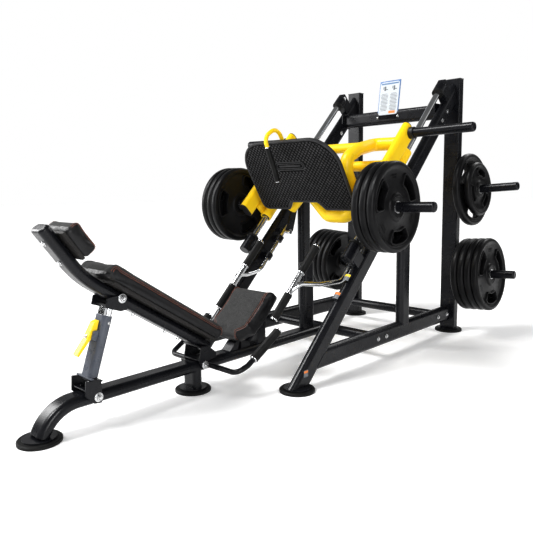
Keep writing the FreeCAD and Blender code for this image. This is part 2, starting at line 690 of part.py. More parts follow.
def build_footplate():
    """Footplate: a thin skin with a turned-back edge, and the lugs welded behind it."""
    body = doc.addObject("PartDesign::Body", "footplate")
    sketch = new_sketch(body, "footplate_outline")
    footplate_outline(sketch, 0.0)
    pad = body.newObject("PartDesign::Pad", "footplate_thickness")
    pad.Profile = sketch
    pad.setExpression("Length", "dims.tread_thickness")
    doc.recompute()
    hollow = new_sketch(body, "footplate_hollow")
    footplate_outline(hollow, dim("tread_skin"))
    pocket = body.newObject("PartDesign::Pocket", "footplate_pan")
    pocket.Profile = hollow
    pocket.Type = 0
    pocket.setExpression("Length", "dims.tread_thickness - dims.tread_skin")
    pocket.Reversed = True
    facing = Rotation(X_AXIS, UP_TREAD, X_AXIS.cross(UP_TREAD), "XYZ")
    body.Placement = Placement(tread_point(0, 0, dim("tread_thickness")), facing)
    keep(body, "footplate")
    hinge, skin = tread_point(0, dim("tread_hinge_up"), dim("tread_hinge_back")), dim("tread_skin")
    lug = side_plate([tread_point(0, 70, skin), tread_point(0, 190, skin),
                      tread_point(0, 140, 76), tread_point(0, 108, 72)], 120, 10)
    lug = lug.cut(Part.makeCylinder(12, 400, hinge - X_AXIS * 200, X_AXIS))
    quadrant = side_plate([tread_point(0, 235, skin), tread_point(0, 335, skin),
                           tread_point(0, 322, 70), tread_point(0, 262, 70)], 60, 10)
    solid_node("footplate_lugs", *both_sides(lug), *both_sides(quadrant))


def build_footplate_pivot():
    """Round shaft that the footplate turns on, and the carriage's brackets that hold it."""
    hinge = tread_point(0, dim("tread_hinge_up"), dim("tread_hinge_back"))
    shaft = Part.makeCylinder(11.94, 300, hinge - X_AXIS * 150, X_AXIS)
    solid_node("footplate_shaft", shaft)
    tube = rail_point(0, LOW_TUBE[0], LOW_TUBE[1])
    bore = Part.makeCylinder(11.94, 400, hinge - X_AXIS * 200, X_AXIS)
    body = Part.makeCylinder(dim("cross_radius"), 400, tube - X_AXIS * 200, X_AXIS)
    cheeks = []
    for across in (102, 138):
        cheek = side_plate([hinge + ABOVE * 20 - ALONG * 18, hinge + ABOVE * 20 + ALONG * 18,
                            tube + ALONG * 24 + ABOVE * 10, tube - ALONG * 24 + ABOVE * 6], across, 8)
        cheeks += both_sides(cheek.cut(bore).cut(body))
    solid_node("footplate_brackets", *cheeks)


def build_hook_lever():
    """Yellow hook over the footplate's top edge, with a rubber grip in front."""
    across, top = -42, dim("tread_height")
    points = [tread_point(across, 262, 62), tread_point(across, top + 56, 62),
              tread_point(across, top + 56, -54), tread_point(across, top - 188, -86)]
    rod = bent_bar(points, [52, 46], 11)
    boss = Part.makeCylinder(20, 24, tread_point(across - 12, 262, 62), X_AXIS)
    solid_node("hook_lever", rod.fuse(boss).removeSplitter())
    heading = (points[2] - points[3]).normalize()
    grip = disc(15, 190, points[3] - heading * 3, heading, 11.0)
    solid_node("hook_grip", grip)


# ---------------------------------------------------------------- backrest

def back_frame(origin_y, origin_z, slope):
    """Down-slope and outward directions of a tube that falls towards +Y."""
    angle = math.radians(slope)
    down = Vector(0, math.cos(angle), -math.sin(angle))
    out = Vector(0, math.sin(angle), math.cos(angle))
    return Vector(0, origin_y, origin_z), down, out


def build_backrest():
    """Bent flat-oval tube with the back and head pads, their boards and the hinge bracket."""
    wide, thin, wall = dim("oval_wide"), dim("oval_thin"), dim("tube_wall")
    head, down, out = back_frame(dim("strut_head_y"), dim("strut_head_z"), dim("back_slope"))
    corner = head - down * 180
    crest, head_down, head_out = back_frame(corner.y, corner.z, dim("head_slope"))
    points = [crest - head_down * 244, corner, head + down * 556]
    path = rounded_path(points, [450])
    tube = swept(path, oval_wire(wide, thin), oval_wire(wide - 2 * wall, thin - 2 * wall))
    bolt = Part.makeCylinder(9.6, 200, Vector(-100, head.y, head.z), X_AXIS)
    crown_way = (points[1] - points[0]).normalize()
    dome = oval_bar(wide, thin, points[0] - crown_way * 15, points[0])
    rim = [edge for edge in dome.Edges if abs((edge.CenterOfMass - points[0]).dot(crown_way) + 15) < 0.1]
    dome = dome.makeFillet(12, rim)
    solid_node("backrest_tube", tube.cut(bolt).fuse(dome).removeSplitter())
    solid_tube = swept(path, oval_wire(wide, thin))
    board_base = head - down * 92 + out * (thin / 2)
    board = slab(board_base, down, out, 617, 210, 12)
    pad_base = head - down * 151 + out * (thin / 2 + 12)
    pad = slab(pad_base, down, out, dim("back_pad_length"), dim("back_pad_width"), dim("back_pad_thickness"))
    solid_node("back_pad", soften(pad, 22))
    base = points[0] + head_down * 24 + head_out * (thin / 2)
    rest = slab(base + head_down * 8, head_down, head_out, 130, 176, 12)
    head_pad = slab(base + head_out * 12, head_down, head_out, dim("head_pad_length"),
                    dim("head_pad_width"), dim("head_pad_thickness"))
    solid_node("pad_boards", board.cut(solid_tube), rest.cut(solid_tube))
    solid_node("head_pad", soften(head_pad, 12))
    hinge = Vector(0, dim("hinge_y"), dim("hinge_z"))
    cheek = side_plate([Vector(0, 742, 148), Vector(0, 757, 221), Vector(0, 800, 212), Vector(0, 846, 176),
                        Vector(0, 842, 152), Vector(0, 792, 144), hinge + Vector(0, 13, -18),
                        hinge + Vector(0, -15, -18)], 56.5, 6)
    cheeks = both_sides(cheek.cut(Part.makeCylinder(8.2, 200, hinge - X_AXIS * 100, X_AXIS)))
    floor = box_between(Vector(-53.5, 742, 151), Vector(53.5, 790, 157))
    under = head + down * 484 - out * (thin / 2)
    roof = side_plate([under, under + down * 52, under + down * 52 - out * 6, under - out * 6], 0, 107)
    solid_node("hinge_bracket", cheeks[0].fuse([floor, roof, cheeks[1]]).removeSplitter())


def slab(base, length_way, thick_way, length, width, thickness):
    """Rectangular block centred across the machine, from a base point."""
    box = Part.makeBox(width, length, thickness, Vector(-width / 2, 0, 0))
    box.Placement = Placement(base, Rotation(X_AXIS, length_way, thick_way, "XYZ"))
    return box


def soften(block, radius):
    return block.makeFillet(radius, block.Edges)


def build_strut():
    """Telescopic strut from the centre beam to the backrest, with its yellow pin lever."""
    foot = Vector(0, dim("strut_foot_y"), dim("strut_foot_z"))
    head = Vector(0, dim("strut_head_y"), dim("strut_head_z"))
    run = (head - foot).normalize()
    rear = run.cross(X_AXIS)
    base = foot - rear * 27
    sleeve = oval_bar(84, 44, base + run * 55, base + run * 322).cut(
        oval_bar(76.2, 36.2, base + run * 55, base + run * 322))
    cheek = side_plate([foot + Vector(0, -52, 76), foot + Vector(0, 14, 66), foot + Vector(0, 18, -14),
                        foot + Vector(0, 12, -26), foot + Vector(0, -20, -22), foot + Vector(0, -56, 16)],
                       56.5, 6)
    cheek = cheek.cut(Part.makeCylinder(8.2, 200, foot - X_AXIS * 100, X_AXIS))
    cap = slab(base + run * 62 - rear * 25, rear, run, 52, 119, 6)
    floor = slab(foot + Vector(0, -50, 32), Y_AXIS, Z_AXIS, 40, 107, 5)
    saddle = cheek.fuse(mirrored(cheek)).fuse(cap).fuse(floor)
    core = oval_bar(76.2, 36.2, base, base + run * 322)
    sleeve = sleeve.fuse(saddle).cut(core).removeSplitter()
    crown = head - rear * 27 - run * 44
    inner = oval_bar(76, 36, base + run * 130, crown).cut(oval_bar(70, 30, base + run * 130, crown))
    fork = side_plate([head + Vector(0, -66, 10), head + Vector(0, 4, 16), head + Vector(0, 20, 6),
                       head + Vector(0, 22, -50), head + Vector(0, -10, -52), head + Vector(0, -76, -28)],
                      56.5, 6)
    fork = fork.cut(Part.makeCylinder(8.2, 200, head - X_AXIS * 100, X_AXIS))
    bridge = slab(crown - rear * 22, rear, run, 62, 107, 6)
    solid_node("strut_tube", inner)
    solid_node("strut_fork", fork.fuse(mirrored(fork)).fuse(bridge).removeSplitter())
    lever_pivot = base + run * 236 - rear * 36
    blade = side_plate([lever_pivot + run * 62 + rear * 8, lever_pivot + run * 50 - rear * 10,
                        lever_pivot - run * 10 - rear * 22, lever_pivot - run * 88 - rear * 50,
                        lever_pivot - run * 94 - rear * 42, lever_pivot - run * 14 - rear * 6,
                        lever_pivot + run * 10 + rear * 10], 0, 34)
    blade = blade.cut(Part.makeCylinder(5.2, 100, lever_pivot - X_AXIS * 50, X_AXIS))
    solid_node("adjust_lever", blade)
    ears = side_plate([lever_pivot - run * 16 - rear * 9, lever_pivot + run * 16 - rear * 9,
                       lever_pivot + run * 24 + rear * 14, lever_pivot - run * 24 + rear * 14], 22, 6)
    pin = Part.makeCylinder(5, 56, lever_pivot - X_AXIS * 28, X_AXIS)
    ears = [ear.cut(pin) for ear in both_sides(ears)]
    solid_node("strut_sleeve", sleeve, *ears, pin)


# ---------------------------------------------------------------- seat and handles

def build_seat():
    """Sloping seat pad on a bracket that stands on the centre beam."""
    thickness, board = dim("seat_thickness"), 12
    rise = lean(dim("seat_slope"))
    out = lean(dim("seat_slope") + 90)
    top = Vector(0, dim("seat_top_y"), dim("seat_top_z"))
    front = top - rise * dim("seat_length") - out * thickness
    pad = slab(front, rise, out, dim("seat_length"), dim("seat_width"), thickness)
    for side in (-1, 1):
        corner = Part.makeBox(90, 90, thickness + 20, Vector(-45, -45, -10))
        corner.rotate(Vector(), Z_AXIS, 45)
        corner.Placement = Placement(front + X_AXIS * side * (dim("seat_width") / 2 + 15.5) - rise * 15.5,
                                     Rotation(X_AXIS, rise, out, "XYZ")).multiply(corner.Placement)
        pad = pad.cut(corner)
    solid_node("seat_pad", pad.makeFillet(14, pad.Edges))
    plate = slab(front + rise * 30 - out * board, rise, out, dim("seat_length") - 50, 230, board)
    level = dim("beam_level") + dim("oval_thin") / 2
    above_board = slab(front - rise * 200 - out * board, rise, out, 800, 200, 400)
    legs = []
    for distance in (60, 220):
        spot = front + rise * distance - out * board
        post = box_between(Vector(-30, spot.y, level - 20), Vector(30, spot.y + 60, spot.z + 120))
        legs.append(post.cut(above_board))
    beam = oval_bar(dim("oval_wide"), dim("oval_thin"), Vector(0, 700, dim("beam_level")),
                    Vector(0, 1600, dim("beam_level")))
    nose = side_plate([Vector(0, 838, level - 10), Vector(0, 846, level + 34), Vector(0, 905, level + 40),
                       front - out * board + rise * 10, front - out * board + rise * 60,
                       Vector(0, 1010, level - 10)], 0, 60)
    support = plate.fuse(legs[0]).fuse(legs[1]).fuse(nose.cut(above_board)).cut(beam)
    solid_node("seat_bracket", max(support.Solids, key=lambda s: s.Volume))


def build_handles():
    """Side handles: bars out of the centre beam, bent back and up, with ribbed grips."""
    radius, side, y = dim("bar_radius"), dim("handle_side"), dim("handle_y")
    level = dim("beam_level") - 1
    angle = math.radians(dim("handle_slope"))
    rise = Vector(0, math.cos(angle), math.sin(angle))
    elbow = Vector(side, y + 26, level + 4)
    tip = elbow + rise * 284
    points = [Vector(40, y, level), Vector(side - 14, y, level), elbow + rise * 40, tip]
    bar = bent_bar(points, [42, 60], radius)
    beam = oval_bar(dim("oval_wide"), dim("oval_thin"), Vector(0, 700, dim("beam_level")),
                    Vector(0, 900, dim("beam_level")))
    bar = max(bar.cut(beam).Solids, key=lambda s: s.Volume)
    heading = (tip - points[2]).normalize()
    grip = disc(dim("grip_radius"), 192, tip - heading * 200, heading, radius)
    solid_node("handle_bars", *both_sides(bar))
    solid_node("handle_grips", *both_sides(grip))


def lever_shapes():
    """Right-hand safety lever: a shaft beside the rail, its handle bar and its stop peg."""
    radius, shaft = dim("bar_radius"), dim("shaft_side")
    bar_side, bar_above = dim("lever_bar_side"), dim("lever_bar_above")
    low, high = 242, 722
    rod_points = [rail_point(shaft, dim("shaft_end")), rail_point(shaft, 650),
                  rail_point(shaft - 38, 545, 98), rail_point(bar_side + 26, 480, bar_above - 10), rail_point(bar_side, 420, bar_above)]
    arm = bent_bar(rod_points, [70, 60, 40], radius)
    bar_radius = dim("lever_bar_radius")
    bar = Part.makeCylinder(bar_radius, high - low, rail_point(bar_side, low, bar_above), ALONG)
    peg = Part.makeCylinder(11, 58, rail_point(shaft, 955), X_AXIS * -1)
    lever = arm.fuse(bar).fuse(peg).removeSplitter()
    grips = [disc(dim("grip_radius"), end - start, rail_point(bar_side, start, bar_above), ALONG, bar_radius)
             for start, end in ((low + 8, 400), (540, high - 12))]
    return lever, grips


def build_levers():
    lever, grips = lever_shapes()
    solid_node("right_safety_lever", lever)
    solid_node("left_safety_lever", mirrored(lever))
    solid_node("right_lever_grips", *grips)
    solid_node("left_lever_grips", *[mirrored(grip) for grip in grips])
    bushes = []
    for along in (740, 880):
        ring = disc(22, 36, rail_point(dim("shaft_side"), along), ALONG, dim("bar_radius") + 0.06)
        arm = side_plate([rail_point(0, along, -14), rail_point(0, along + 36, -14),
                          rail_point(0, along + 36, 14), rail_point(0, along, 14)], 340, 36)
        ring = ring.fuse(arm).cut(rail_outer(1))
        bore = Part.makeCylinder(dim("bar_radius") + 0.06, 36, rail_point(dim("shaft_side"), along), ALONG)
        bushes += both_sides(max(ring.cut(bore).Solids, key=lambda s: s.Volume))
    solid_node("lever_bushings", *bushes)


# ---------------------------------------------------------------- card, caps and bolts

def build_trim():
    """Instruction card holder, upright caps, bolt heads and pivot bolts."""
    y, level = dim("top_beam_y") - 25, dim("top_beam_level")
    card = Part.makeBox(154, 4, 252, Vector(-76, 0, 0))
    card.rotate(Vector(), X_AXIS, -9)
    card.translate(Vector(0, y - 4, level - 12))
    strap = box_between(Vector(-60, y - 4.5, level - 12), Vector(66, y, level + 14))
    beam = oval_bar(dim("top_beam_wide"), dim("oval_thin"), Vector(-300, dim("top_beam_y"), level),
                    Vector(300, dim("top_beam_y"), level))
    solid_node("card_holder", card.fuse(strap).cut(beam).removeSplitter())
    side, width, depth = dim("rail_side"), dim("oval_wide"), dim("oval_thin")
    top = dim("upright_top")
    caps = both_sides(box_between(Vector(side - width / 2, dim("upright_y") - depth / 2, top - 4),
                                  Vector(side + width / 2, dim("upright_y") + depth / 2, top)))
    post_top = Vector(0, dim("centre_post_y"), dim("centre_post_top"))
    caps.append(oval_bar(dim("oval_wide"), dim("oval_thin"), post_top, post_top + Z_AXIS * 6, 90))
    solid_node("end_caps", *caps)
    bolts = []
    face = side + dim("oval_thin") / 2
    for y_bolt in (1718, 1800, 2404, 2520):
        bolts += both_sides(bolt_head(Vector(face, y_bolt, dim("beam_level")), X_AXIS, 9))
    for along in (1900, 1985):
        bolts += both_sides(bolt_head(rail_point(face, along, 0), X_AXIS, 9))
    hinge = Vector(0, dim("hinge_y"), dim("hinge_z"))
    foot = Vector(0, dim("strut_foot_y"), dim("strut_foot_z"))
    solid_node("frame_bolts", *bolts, pivot_bolt(hinge), pivot_bolt(foot))
    solid_node("strut_head_bolt", pivot_bolt(Vector(0, dim("strut_head_y"), dim("strut_head_z"))))


def bolt_head(place, axis, radius):
    """Washer and hexagon head standing on a face."""
    washer = Part.makeCylinder(radius * 1.35, 2, place, axis)
    turn = Rotation(Z_AXIS, axis)
    corners = [place + axis * 2 + turn.multVec(Vector(radius * math.cos(a), radius * math.sin(a), 0))
               for a in [math.radians(60 * step) for step in range(7)]]
    return washer.fuse(Part.Face(Part.makePolygon(corners)).extrude(axis * 6)).removeSplitter()


def pivot_bolt(centre):
    """Bolt right through a bracket: shank, head, nut and washers."""
    reach = 59.5
    shank = Part.makeCylinder(8, 2 * reach, centre - X_AXIS * reach, X_AXIS)
    ends = []
    for way in (X_AXIS, X_AXIS * -1):
        ends += [bolt_head(centre + way * reach, way, 13), Part.makeCylinder(19, 2.5, centre + way * reach, way)]
    return shank.fuse(ends).removeSplitter()


build_centre_beam()
build_rails()
build_sills()
build_cross_tubes()
build_posts()
build_uprights()
build_top_beam()
build_feet()
build_guides()
build_storage_pegs()
build_arms()
build_carriage_frame()
build_arch()
build_bearings()
build_carriage_pegs()
build_stop_hooks()
build_footplate()
build_footplate_pivot()
build_hook_lever()
build_backrest()
build_strut()
build_seat()
build_handles()
build_levers()
build_plates()
build_trim()

doc.recompute()
for item in doc.Objects:
    if any(flag in ("Invalid", "Error") for flag in item.State):
        raise RuntimeError(f"{item.Label} failed: {item.State}")
for item in nodes:
    if item.Shape.isNull() or not item.Shape.isValid() or not item.Shape.Solids:
        raise RuntimeError(f"{item.Label} has no valid solid")
os.makedirs("parts", exist_ok=True)
for item in nodes:
    item.Shape.exportStep(f"parts/{item.Label}.step")
    box = item.Shape.BoundBox
    print(f"{item.Label:24s} solids {len(item.Shape.Solids):2d}  x {box.XMin:8.1f} {box.XMax:8.1f}"
          f"  y {box.YMin:8.1f} {box.YMax:8.1f}  z {box.ZMin:8.1f} {box.ZMax:8.1f}")
print(len(nodes), "nodes")
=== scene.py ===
"""Plate-loaded 45 degree leg press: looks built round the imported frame, in metres."""
import json
import math

import bmesh
import bpy
import numpy as np
from mathutils import Matrix, Vector
from mathutils.bvhtree import BVHTree


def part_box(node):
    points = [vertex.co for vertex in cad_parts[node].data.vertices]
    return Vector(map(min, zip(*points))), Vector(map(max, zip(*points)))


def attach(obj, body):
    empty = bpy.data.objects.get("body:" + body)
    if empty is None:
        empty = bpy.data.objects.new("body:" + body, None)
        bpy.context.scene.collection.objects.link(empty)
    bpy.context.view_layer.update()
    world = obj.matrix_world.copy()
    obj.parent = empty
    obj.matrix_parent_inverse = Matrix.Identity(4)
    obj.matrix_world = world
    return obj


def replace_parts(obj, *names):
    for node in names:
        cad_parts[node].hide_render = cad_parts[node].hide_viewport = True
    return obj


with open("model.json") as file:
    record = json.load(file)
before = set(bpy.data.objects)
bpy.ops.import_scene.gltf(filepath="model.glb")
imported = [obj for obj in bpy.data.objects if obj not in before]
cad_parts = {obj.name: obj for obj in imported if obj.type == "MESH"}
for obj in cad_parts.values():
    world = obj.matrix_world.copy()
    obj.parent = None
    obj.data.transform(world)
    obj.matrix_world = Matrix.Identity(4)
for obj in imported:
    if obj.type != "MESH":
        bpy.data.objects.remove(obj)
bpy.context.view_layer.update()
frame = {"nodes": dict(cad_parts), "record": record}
NODES = frame["nodes"]
BODIES = frame["record"]["behaviour"]["bodies"]
X_WAY = Vector((1, 0, 0))


# ---- materials

def grey(level):
    return (level, level, level)


BLACK_PAINT = ((0.0050, 0.0053, 0.0072), (0.0090, 0.0095, 0.0122))
SADDLE_TOP = 0.2040
CARD_STRAP_TOP = 1.4165
BEVEL_SAMPLES = 4


class Finish:
    """A material's node tree, with short ways to add the nodes that the finishes share."""

    def __init__(self, name, rough=0.5, metal=0.0, specular=0.5):
        self.material = bpy.data.materials.new(name)
        self.material.use_nodes = True
        self.tree = self.material.node_tree
        self.shader = self.tree.nodes["Principled BSDF"]
        self.set_inputs(self.shader, {"Roughness": rough, "Metallic": metal, "Specular IOR Level": specular})
        self.place = self.add("ShaderNodeTexCoord", {}).outputs["Object"]

    def set_inputs(self, node, values):
        for name, value in values.items():
            node.inputs[name].default_value = value

    def add(self, kind, values):
        """A new node with its plain inputs set."""
        node = self.tree.nodes.new(kind)
        self.set_inputs(node, values)
        return node

    def join(self, source, target):
        self.tree.links.new(source, target)

    def noise(self, scale, detail=3.0, rough=0.5, stretch=None):
        node = self.add("ShaderNodeTexNoise", {"Scale": scale, "Detail": detail, "Roughness": rough})
        self.join(self.stretched(stretch), node.inputs["Vector"])
        return node.outputs["Fac"]

    def cells(self, scale):
        node = self.add("ShaderNodeTexVoronoi", {"Scale": scale})
        self.join(self.place, node.inputs["Vector"])
        return node.outputs["Distance"]

    def stretched(self, stretch):
        if stretch is None:
            return self.place
        node = self.add("ShaderNodeMapping", {"Scale": stretch})
        self.join(self.place, node.inputs["Vector"])
        return node.outputs["Vector"]

    def ramp(self, source, dark, light, start=0.3, end=0.7):
        """Blend from one colour to another as a pattern goes from start to end."""
        node = self.tree.nodes.new("ShaderNodeValToRGB")
        first, last = node.color_ramp.elements
        first.position, first.color = start, (*dark, 1.0)
        last.position, last.color = end, (*light, 1.0)
        self.join(source, node.inputs["Fac"])
        return node.outputs["Color"]

    def spread(self, source, low, high, start=0.3, end=0.7):
        """Blend from one number to another as a pattern goes from start to end."""
        limits = {"From Min": start, "From Max": end, "To Min": low, "To Max": high}
        node = self.add("ShaderNodeMapRange", limits)
        self.join(source, node.inputs["Value"])
        return node.outputs["Result"]

    def mix(self, factor, first, second):
        node = self.tree.nodes.new("ShaderNodeMix")
        node.data_type = "RGBA"
        self.join(factor, node.inputs["Factor"])
        self.join(first, node.inputs["A"])
        self.join(second, node.inputs["B"])
        return node.outputs["Result"]

    def above(self, level):
        """0 below a height on the object at rest and 1 above it."""
        split = self.tree.nodes.new("ShaderNodeSeparateXYZ")
        self.join(self.place, split.inputs["Vector"])
        return self.spread(split.outputs["Z"], 0.0, 1.0, level, level + 0.0005)

    def soft_edge(self, radius):
        """Surface direction with the edges rounded to a radius."""
        node = self.add("ShaderNodeBevel", {"Radius": radius})
        node.samples = BEVEL_SAMPLES
        return node.outputs["Normal"]

    def edges(self, radius, low, high):
        """How sharply the surface turns near a point, from 0 on flats to 1 along edges."""
        flat = self.tree.nodes.new("ShaderNodeNewGeometry").outputs["Normal"]
        dot = self.tree.nodes.new("ShaderNodeVectorMath")
        dot.operation = "DOT_PRODUCT"
        self.join(self.soft_edge(radius), dot.inputs[0])
        self.join(flat, dot.inputs[1])
        return self.spread(dot.outputs["Value"], 1.0, 0.0, low, high)

    def set_colour(self, source):
        self.join(source, self.shader.inputs["Base Color"])

    def set_tones(self, dark, light, *pattern, start=0.3, end=0.7):
        """Mottling between two colours."""
        self.set_colour(self.ramp(self.noise(*pattern), dark, light, start, end))

    def set_rough(self, scale, detail, low, high):
        """Glossier and duller patches."""
        self.join(self.spread(self.noise(scale, detail), low, high), self.shader.inputs["Roughness"])

    def set_bump(self, height, strength, distance, rounding=None):
        """Fine relief, over edges rounded to a radius where one is given."""
        node = self.add("ShaderNodeBump", {"Strength": strength, "Distance": distance})
        self.join(height, node.inputs["Height"])
        if rounding is not None:
            self.join(self.soft_edge(rounding), node.inputs["Normal"])
        self.join(node.outputs["Normal"], self.shader.inputs["Normal"])


def powder_coat(name, dark, light, worn_and_highlit, rough_low, rough_high, coat=0.0, specular=0.5):
    """Powder-coated steel: slight mottling, an orange-peel skin, and paler edges that are partly rubbed wear
    and partly a painted highlight.
    """
    paint = Finish(name, specular=specular)
    mottled = paint.ramp(paint.noise(7.0, 5.0), dark, light)
    rubbed_and_highlit = paint.ramp(paint.noise(9.0, 3.0), light, worn_and_highlit, 0.45, 0.75)
    # The paler edge colour is partly rubbed paint and partly a painted highlight along every edge.
    paint.set_colour(paint.mix(paint.edges(0.0020, 0.60, 0.95), mottled, rubbed_and_highlit))
    paint.set_rough(12.0, 3.0, rough_low, rough_high)
    paint.set_bump(paint.noise(420.0, 2.0), 0.008, 0.0004, 0.0015)
    paint.set_inputs(paint.shader, {"Coat Weight": coat, "Coat Roughness": 0.12})
    return paint.material


def strut_coat():
    """The strut's blue-grey coat, black on the saddle that it stands in."""
    coat = Finish("strut_coat", specular=0.35)
    pale = coat.ramp(coat.noise(7.0, 5.0), (0.075, 0.082, 0.100), (0.110, 0.120, 0.145))
    black = coat.ramp(coat.noise(7.0, 5.0), *BLACK_PAINT)
    coat.set_colour(coat.mix(coat.above(SADDLE_TOP), black, pale))
    coat.set_rough(35.0, 5.0, 0.24, 0.36)
    coat.set_bump(coat.noise(420.0, 2.0), 0.02, 0.0004, 0.0015)
    return coat.material


def chrome():
    """Polished chrome with faint polishing marks and a few duller patches."""
    metal = Finish("chrome_finish", metal=1.0)
    metal.set_tones((0.68, 0.69, 0.70), (0.80, 0.81, 0.82), 12.0)
    metal.set_rough(90.0, 4.0, 0.08, 0.17)
    metal.set_bump(metal.noise(700.0, 2.0, stretch=(1.0, 0.08, 0.08)), 0.05, 0.0002)
    return metal.material


def zinc():
    """Zinc-plated bolts and washers, finely mottled."""
    metal = Finish("zinc_plate", metal=1.0)
    metal.set_tones((0.56, 0.57, 0.59), (0.80, 0.80, 0.79), 220.0)
    metal.set_rough(300.0, 2.0, 0.18, 0.32)
    metal.set_bump(metal.noise(1200.0, 2.0), 0.1, 0.0003, 0.0008)
    return metal.material


def rubber(name, dark, light, rough_low, rough_high, grain):
    """Moulded rubber: fine grain, a dusty mottling, and slightly rounded edges."""
    skin = Finish(name, specular=0.2)
    skin.set_tones(dark, light, 18.0, 6.0, 0.6, end=0.72)
    skin.set_rough(40.0, 4.0, rough_low, rough_high)
    skin.set_bump(skin.noise(grain), 0.2, 0.0004, 0.0015)
    return skin.material


def centre_cloth():
    """Heathered grey woven centre panel of the pads."""
    cloth = Finish("pad_centre_cloth", rough=0.8, specular=0.15)
    fleck = cloth.ramp(cloth.noise(380.0, 4.0, 0.75), grey(0.010), (0.105, 0.105, 0.104), 0.36, 0.64)
    cloud = cloth.ramp(cloth.noise(25.0, 4.0), grey(0.026), grey(0.044))
    half = cloth.ramp(cloth.noise(90.0, 2.0), grey(0.35), grey(0.65), 0.4, 0.6)
    cloth.set_colour(cloth.mix(half, fleck, cloud))
    cloth.set_bump(cloth.noise(800.0, 3.0, 0.7), 0.35, 0.0006)
    cloth.shader.inputs["Sheen Weight"].default_value = 0.08
    return cloth.material


def side_vinyl():
    """Black leathercloth of the pads' sides, with a pebbled grain."""
    vinyl = Finish("pad_side_vinyl", specular=0.34)
    vinyl.set_tones((0.006, 0.006, 0.007), (0.012, 0.012, 0.013), 30.0, 4.0)
    vinyl.set_rough(60.0, 3.0, 0.34, 0.48)
    vinyl.set_bump(vinyl.cells(620.0), 0.25, 0.0005)
    return vinyl.material


def painted_board():
    """Black-painted plywood behind the pads, with a faint lengthwise grain."""
    board = Finish("painted_board", rough=0.6)
    grain = board.noise(40.0, 5.0, stretch=(6.0, 1.0, 1.0))
    board.set_colour(board.ramp(grain, (0.010, 0.009, 0.009), (0.020, 0.018, 0.016)))
    board.set_bump(board.noise(200.0, stretch=(8.0, 1.0, 1.0)), 0.2, 0.0005)
    return board.material


def moulded_plastic():
    """Black moulded caps and collars."""
    plastic = Finish("moulded_plastic", rough=0.45)
    plastic.set_tones((0.008, 0.008, 0.009), (0.016, 0.016, 0.018), 30.0)
    plastic.set_rough(150.0, 3.0, 0.4, 0.55)
    plastic.set_bump(plastic.cells(900.0), 0.12, 0.0003, 0.001)
    return plastic.material


def clear_sleeve():
    """Clear blue-tinted sleeve that holds the instruction card, on its black strap."""
    sleeve = Finish("card_sleeve", rough=0.12)
    tint = sleeve.ramp(sleeve.noise(20.0), (0.10, 0.19, 0.40), (0.16, 0.27, 0.50))
    strap = sleeve.ramp(sleeve.noise(20.0), *BLACK_PAINT)
    sleeve.set_colour(sleeve.mix(sleeve.above(CARD_STRAP_TOP), strap, tint))
    sleeve.set_rough(80.0, 3.0, 0.08, 0.2)
    return sleeve.material


def dyed(name, dark, light, scale, detail=3.0, rough=0.45):
    """Thread, paper or ink: a plain colour, uneven as a print is."""
    ink = Finish(name, rough=rough)
    ink.set_tones(dark, light, scale, detail)
    return ink.material


def tread_paint(name, shade):
    """Black textured paint of the footplate: the raised tread takes it at full tone, and a copy darkened by
    a shade factor is painted shade in the grooves.
    """
    paint = Finish(name, specular=0.22 * shade)
    tones = ((0.025, 0.025, 0.026), (0.054, 0.054, 0.056))
    dark, light = ([shade * part for part in tone] for tone in tones)
    paint.set_tones(dark, light, 24.0, 6.0, 0.65, end=0.72)
    paint.set_rough(50.0, 4.0, 0.38, 0.55)
    paint.set_bump(paint.noise(700.0), 0.25, 0.0004)
    return paint.material


FINISHES = {
    # Each powder coat's third colour is its paler edge colour: partly wear, partly painted highlight.
    "frame_paint": powder_coat("frame_powder_coat", *BLACK_PAINT, (0.040, 0.041, 0.045), 0.22, 0.34,
                               specular=0.32),
    "yellow_paint": powder_coat("yellow_powder_coat", (0.94, 0.63, 0.014), (1.0, 0.71, 0.022),
                                (1.0, 0.78, 0.10), 0.26, 0.38, coat=0.1, specular=0.3),
    "grey_paint": strut_coat(),
    "chrome": chrome(),
    "zinc": zinc(),
    "rubber": rubber("foot_rubber", grey(0.006), grey(0.014), 0.42, 0.60, 700.0),
    "grip_rubber": rubber("grip_rubber", grey(0.008), grey(0.018), 0.36, 0.50, 900.0),
    "plate_rubber": rubber("plate_rubber", (0.004, 0.004, 0.0045), (0.010, 0.010, 0.011), 0.30, 0.44, 500.0),
    "board": painted_board(),
    "plastic": moulded_plastic(),
    "card": clear_sleeve(),
}
CLOTH, VINYL = centre_cloth(), side_vinyl()
FINISHES["upholstery"] = VINYL
THREAD = dyed("stitch_thread", (0.30, 0.060, 0.025), (0.50, 0.13, 0.05), 1500.0, 2.0, rough=0.6)
PAPER, GREY_INK, BLUE_INK, ORANGE_INK, LABEL_PAPER, YELLOW_INK = (
    dyed(name, dark, light, 500.0) for name, dark, light in (
        ("card_paper", (0.50, 0.54, 0.58), (0.60, 0.63, 0.66)),
        ("card_grey_ink", (0.10, 0.11, 0.12), (0.18, 0.19, 0.21)),
        ("card_blue_ink", (0.10, 0.18, 0.32), (0.16, 0.26, 0.42)),
        ("label_orange_ink", (0.70, 0.19, 0.03), (0.82, 0.26, 0.05)),
        ("label_paper", (0.17, 0.18, 0.19), (0.25, 0.26, 0.27)),
        ("label_yellow_ink", (0.80, 0.58, 0.03), (0.90, 0.66, 0.05))))


def finish_cad_nodes():
    """Give every CAD node the finish of its slot in the record."""
    slots = {part["node"]: part["material_slot"] for part in frame["record"]["subparts"]}
    for name, node in NODES.items():
        node.data.materials.clear()
        node.data.materials.append(FINISHES[slots[name]])


# ---- mesh helpers

def add_object(name, data):
    """A new object, linked to the scene."""
    thing = bpy.data.objects.new(name, data)
    bpy.context.scene.collection.objects.link(thing)
    return thing


